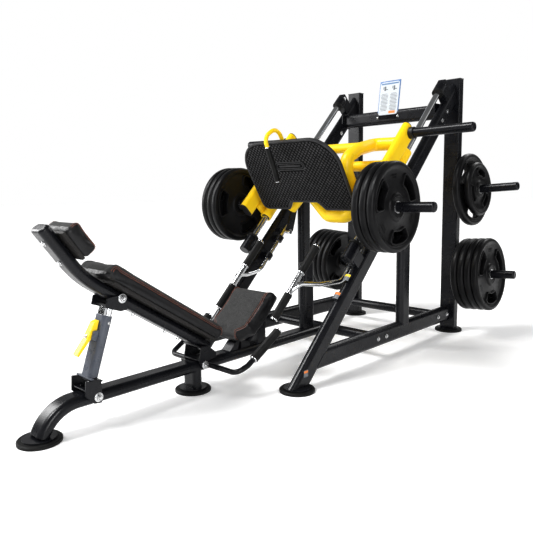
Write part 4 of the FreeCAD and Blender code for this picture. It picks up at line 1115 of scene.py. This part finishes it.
def build_plates():
    """Detailed plates in the place of the CAD stacks, each turned as its CAD plate is."""
    shared = {}
    for node in [name for name in NODES if name.endswith("_plates") and "foot" not in name]:
        outward = -1 if node.startswith("left") else 1
        meshes = []
        for cloud in solids_of(node):
            _, _, ways = np.linalg.svd(cloud - cloud.mean(0), full_matrices=False)
            way = Vector(ways[2]) * (1 if ways[2][0] * outward > 0 else -1)
            across = Vector((0, -way.z, way.y)).normalized()
            basis = Matrix((across, way.cross(across), way)).transposed()
            local = cloud @ np.array(basis)
            middle = (local.min(0) + local.max(0)) / 2
            flat = local[:, :2] - middle[:2]
            reach = np.linalg.norm(flat, axis=1)
            radius, bore = float(reach.max()), float(reach.min())
            thick = float(local[:, 2].max() - local[:, 2].min())
            key = round(radius, 3)
            if key not in shared:
                shared[key] = plate_mesh(radius, bore, thick)
            inside = (reach > radius * 0.45) & (reach < radius * 0.8)
            turns = np.arctan2(flat[inside, 1], flat[inside, 0])
            third = np.angle(np.exp(3j * turns).sum()) / 3 - math.pi / 2
            seat = basis @ Vector((*middle[:2], local[:, 2].min()))
            spin = Matrix.Rotation(third, 4, "Z")
            mesh = shared[key].copy()
            mesh.transform(Matrix.Translation(seat) @ basis.to_4x4() @ spin)
            meshes.append(mesh)
        parts = []
        for mesh in meshes:
            for kind in (0, 1):
                faces = [tuple(p.vertices) for p in mesh.polygons if p.material_index == kind]
                parts.append((spots(mesh), faces, kind))
            bpy.data.meshes.remove(mesh)
        name = f"{node}_detailed"
        whole = join_parts(name, parts)
        smooth(whole, 32)
        finishes = [FINISHES["plate_rubber"], FINISHES["zinc"]]
        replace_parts(new_piece(name, whole, body_of(node), finishes), node)


# ---- scene

WORLD_BANDS = ((0.26, 0.95), (0.36, 0.80), (0.46, 0.22))
MIDDLE = Vector((0.0, 1.4, 0.7))


def pale_floor():
    """Plain pale floor, part of the setting."""
    bpy.ops.mesh.primitive_plane_add(size=60, location=(0, 1.4, 0))
    floor = bpy.context.object
    floor.name = "floor"
    surface = Finish("floor_finish", rough=0.7, specular=0.2)
    surface.set_tones(grey(0.93), grey(0.95), 1.5, 2.0)
    surface.set_inputs(surface.shader, {"Emission Color": (1.0, 1.0, 1.0, 1.0), "Emission Strength": 0.22})
    floor.data.materials.append(surface.material)


def add_lamp(name, light, place, ahead):
    lamp = add_object(name, light)
    lamp.location = place
    lamp.rotation_euler = ahead.to_track_quat("-Z", "Y").to_euler()


def area_light(name, place, size, power):
    """A soft rectangular panel that faces the middle of the object."""
    light = bpy.data.lights.new(name, "AREA")
    light.shape = "RECTANGLE"
    light.size, light.size_y = size
    light.energy = power
    add_lamp(name, light, place, MIDDLE - Vector(place))


def light_room():
    """White backdrop, a fill in a bright band over a dark ground, a soft sun and three panels."""
    world = bpy.data.worlds.new("studio")
    world.use_nodes = True
    tree = world.node_tree
    background = tree.nodes["Background"]
    background.inputs["Color"].default_value = (1.0, 1.0, 1.0, 1.0)
    seen = tree.nodes.new("ShaderNodeLightPath").outputs["Is Camera Ray"]
    split = tree.nodes.new("ShaderNodeSeparateXYZ")
    tree.links.new(tree.nodes.new("ShaderNodeTexCoord").outputs["Generated"], split.inputs["Vector"])
    sky = tree.nodes.new("ShaderNodeValToRGB")
    stops = sky.color_ramp.elements
    for height, strength in WORLD_BANDS:
        stops.new(height).color = (*grey(strength), 1.0)
    stops[0].position, stops[0].color = 0.16, (*grey(0.03), 1.0)
    stops[-1].position, stops[-1].color = 1.0, (*grey(0.18), 1.0)
    tree.links.new(split.outputs["Z"], sky.inputs["Fac"])
    level = tree.nodes.new("ShaderNodeMapRange")
    tree.links.new(sky.outputs["Color"], level.inputs["To Min"])
    level.inputs["To Max"].default_value = 1.0
    tree.links.new(seen, level.inputs["Value"])
    tree.links.new(level.outputs["Result"], background.inputs["Strength"])
    bpy.context.scene.world = world
    sun = bpy.data.lights.new("key_light", "SUN")
    sun.energy = 2.7
    sun.angle = math.radians(22)
    add_lamp("key_light", sun, (0, 0, 0), Vector((0.42, 0.62, -1.0)))
    area_light("side_panel", (3.6, -1.2, 2.0), (0.5, 2.6), 90)
    area_light("left_panel", (-3.2, -0.6, 2.2), (1.2, 2.8), 110)
    area_light("back_panel", (0.5, 5.4, 3.4), (3.0, 1.2), 60)


def place_camera():
    """Camera where the picture was taken from: near the right front, a little below head height."""
    yaw, pitch, roll = (math.radians(turn) for turn in (44.12, 6.68, -0.72))
    ahead = Vector((-math.sin(yaw) * math.cos(pitch), math.cos(yaw) * math.cos(pitch), -math.sin(pitch)))
    level = Vector((math.cos(yaw), math.sin(yaw), 0))
    above = level.cross(ahead)
    right = level * math.cos(roll) + above * math.sin(roll)
    up = above * math.cos(roll) - level * math.sin(roll)
    lens = bpy.data.cameras.new("camera")
    lens.sensor_width = 36.0
    lens.lens = 38.33
    lens.shift_x = 0.0016
    lens.shift_y = -0.0257
    camera = add_object("camera", lens)
    turn = Matrix((right, up, -ahead)).transposed().to_4x4()
    camera.matrix_world = Matrix.Translation((2.0716, -0.8816, 0.9590)) @ turn
    bpy.context.scene.camera = camera


finish_cad_nodes()
build_pad("back_pad", slope=-33.0, corner=0.030, cut=0.0, inset=0.015, cap=0.007, edge=0.022)
build_pad("head_pad", slope=-54.0, corner=0.018, cut=0.0, inset=0.014, cap=0.003, edge=0.016)
build_pad("seat_pad", slope=43.0, corner=0.016, cut=0.060, inset=0.034, cap=0.007, edge=0.018)
for grip_node in ("handle_grips", "left_lever_grips", "right_lever_grips", "hook_grip"):
    build_grips(grip_node)
build_footplate()
build_plates()
build_card()
build_labels()
build_fixings()
pale_floor()
light_room()
place_camera()
bpy.context.scene.view_settings.view_transform = "Standard"
bpy.context.scene.view_settings.gamma = 0.84
